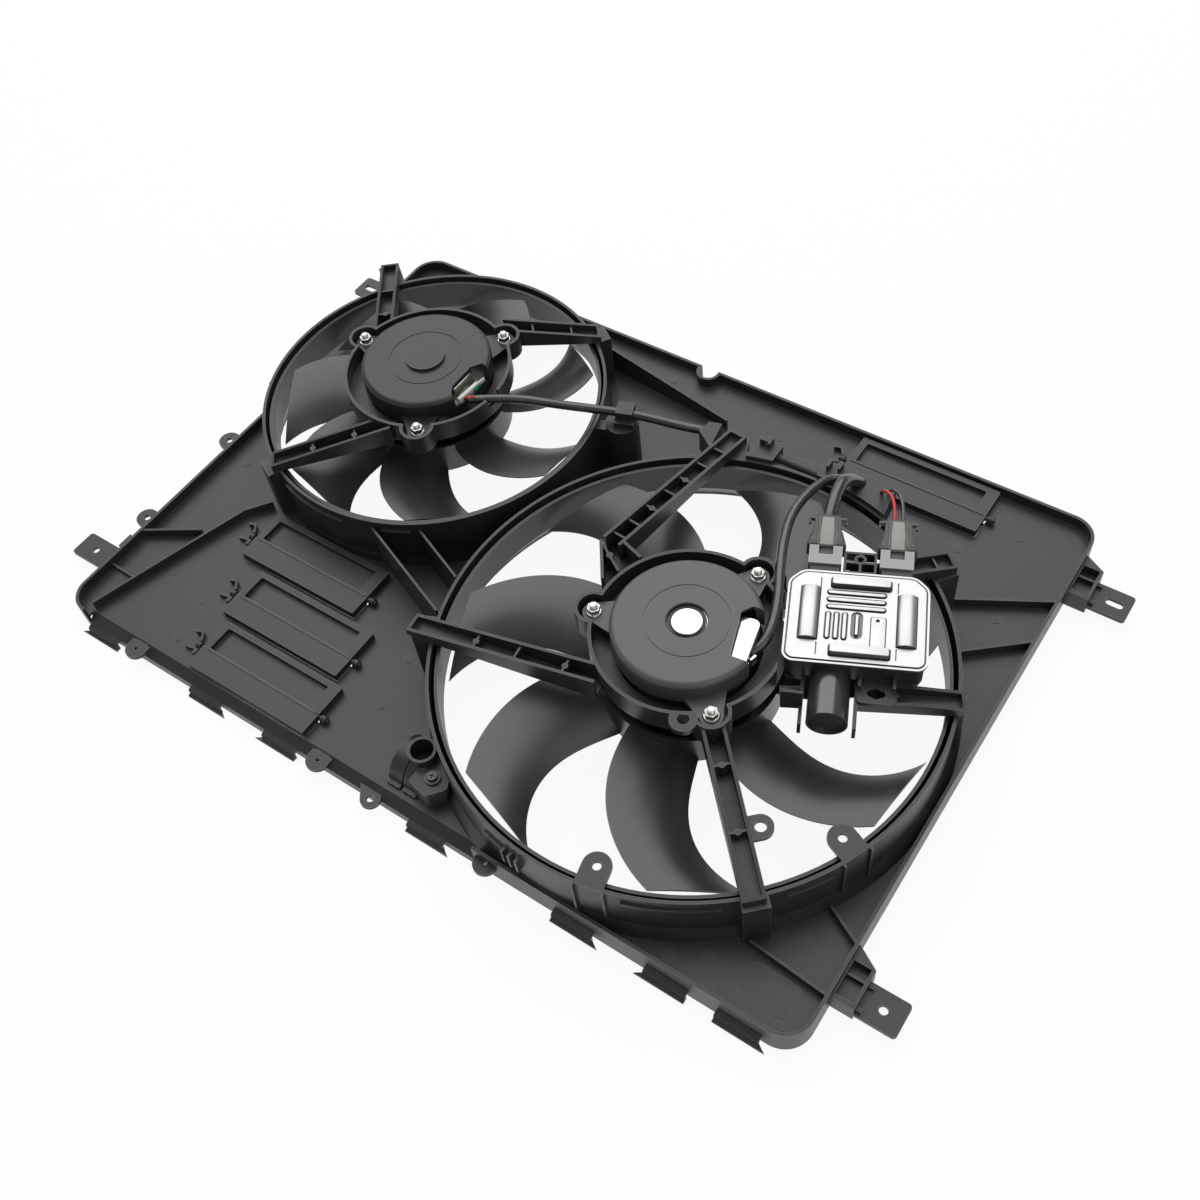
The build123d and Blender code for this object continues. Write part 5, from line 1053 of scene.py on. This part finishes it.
@dataclass(frozen=True)
class Studio:
    """Floor, lamps and camera.

    Attributes:
        eye: Where the camera stands.
        turn: Its rotation in degrees, XYZ.
        lens: Focal length in millimetres, on a 36 mm sensor.
    """

    eye: tuple[float, float, float] = (0.45707, -0.49412, 0.88573)
    turn: tuple[float, float, float] = (36.228, 4.967, 34.204)
    lens: float = 40.454

    def camera(self) -> None:
        """Set the camera at the photograph's angle."""
        data = bpy.data.cameras.new("camera")
        data.lens = self.lens
        data.sensor_width = 36.0
        data.clip_end = 20.0
        holder = bpy.data.objects.new("camera", data)
        holder.location = self.eye
        holder.rotation_euler = [math.radians(angle) for angle in self.turn]
        bpy.context.collection.objects.link(holder)
        bpy.context.scene.camera = holder

    def lamp(self, name: str, spot: tuple, aim: tuple, size: float, watts: float) -> None:
        """Hang one soft square lamp.

        Args:
            name: Name of the lamp.
            spot: Where it hangs.
            aim: What it points at.
            size: Side of the square, in metres.
            watts: Power.
        """
        data = bpy.data.lights.new(name, "AREA")
        data.size = size
        data.energy = watts
        holder = bpy.data.objects.new(name, data)
        holder.location = spot
        holder.rotation_euler = (Vector(aim) - Vector(spot)).to_track_quat("-Z", "Y").to_euler()
        bpy.context.collection.objects.link(holder)

    def floor(self) -> None:
        """Lay a white floor that keeps the object's shadow, and set the world."""
        bpy.ops.object.select_all(action="DESELECT")
        bpy.ops.mesh.primitive_plane_add(size=12.0, location=(0, 0, -0.0005))
        sheet = bpy.context.object
        sheet.name = "floor"
        graph = Graph("floor_paper")
        graph.set(Base_Color=(0.86, 0.86, 0.86), Roughness=0.85)
        graph.show_white(0.92)
        sheet.data.materials.append(graph.material)
        world = bpy.data.worlds.new("studio")
        world.use_nodes = True
        world.node_tree.nodes["Background"].inputs[0].default_value = (1.0, 1.0, 1.0, 1.0)
        world.node_tree.nodes["Background"].inputs[1].default_value = 0.3
        bpy.context.scene.world = world

    def light(self) -> None:
        """Put up the floor and the lamps."""
        self.floor()
        self.lamp("key", (-0.7, 0.95, 1.9), (0, 0, 0), 3.2, 64)
        self.lamp("fill", (1.4, -0.6, 1.3), (0, 0, 0.05), 1.4, 6)
        bpy.context.scene.view_settings.view_transform = "Standard"


def dress(finishes: dict[str, bpy.types.Material]) -> None:
    """Give every CAD node the finish of its material slot.

    Args:
        finishes: Materials by slot.
    """
    for part in frame["record"]["subparts"]:
        node = frame["nodes"][part["node"]]
        node.data.materials.clear()
        node.data.materials.append(finishes[part["material_slot"]])
    special = (
        # Painted light: the large motor's cover is lighter than the small one's, in the same paint.
        ("large_motor_cover", LIT_PAINT_FINISH),
        # Painted shade: the large motor's brush card, near black in its cut-out.
        ("large_motor_brush_card", SHADED_CARD_FINISH),
        ("holder_screw", DARK_STEEL_FINISH),
    )
    for name, finish in special:
        frame["nodes"][name].data.materials[0] = finish.make()


def main() -> None:
    """Build the scene in order."""
    logging.basicConfig(level=logging.INFO, format="%(message)s")
    studio = Studio()
    studio.camera()
    finishes = {finish.slot: finish.make() for finish in FINISHES}
    for lead in LEADS:
        lead.make(finishes)
    dress(finishes)
    log.info("%d finishes on %d nodes", len(finishes), len(frame["nodes"]))
    PressedCover().build(finishes)
    plug_material = PLUG_FINISH.make()
    latch_material = LATCH_FINISH.make()
    Plug("plug_on_left", "left_plug", -25.5, ((0.0, 5.4),)).build(plug_material, latch_material)
    Plug("plug_on_right", "right_plug", 26.0, ((-3.0, 2.5), (3.0, 2.5))).build(plug_material, latch_material)
    StudNuts("large", (487.9, 197.0), (-164.8, 75.5, -44.8), 93.0).build(finishes)
    StudNuts("small", (153.0, 316.8), (179.0, 60.5, -58.8), 90.0).build(finishes)
    BrushGear().build(finishes)
    BearingCap().build(finishes)
    for number, axis in enumerate(((156.0, 133.8), (184.0, 80.5), (196.0, 27.8), (544.0, 457.5)), start=1):
        FlapLip(number, axis).build(finishes)
    studio.light()


if __name__ == "__main__":
    main()
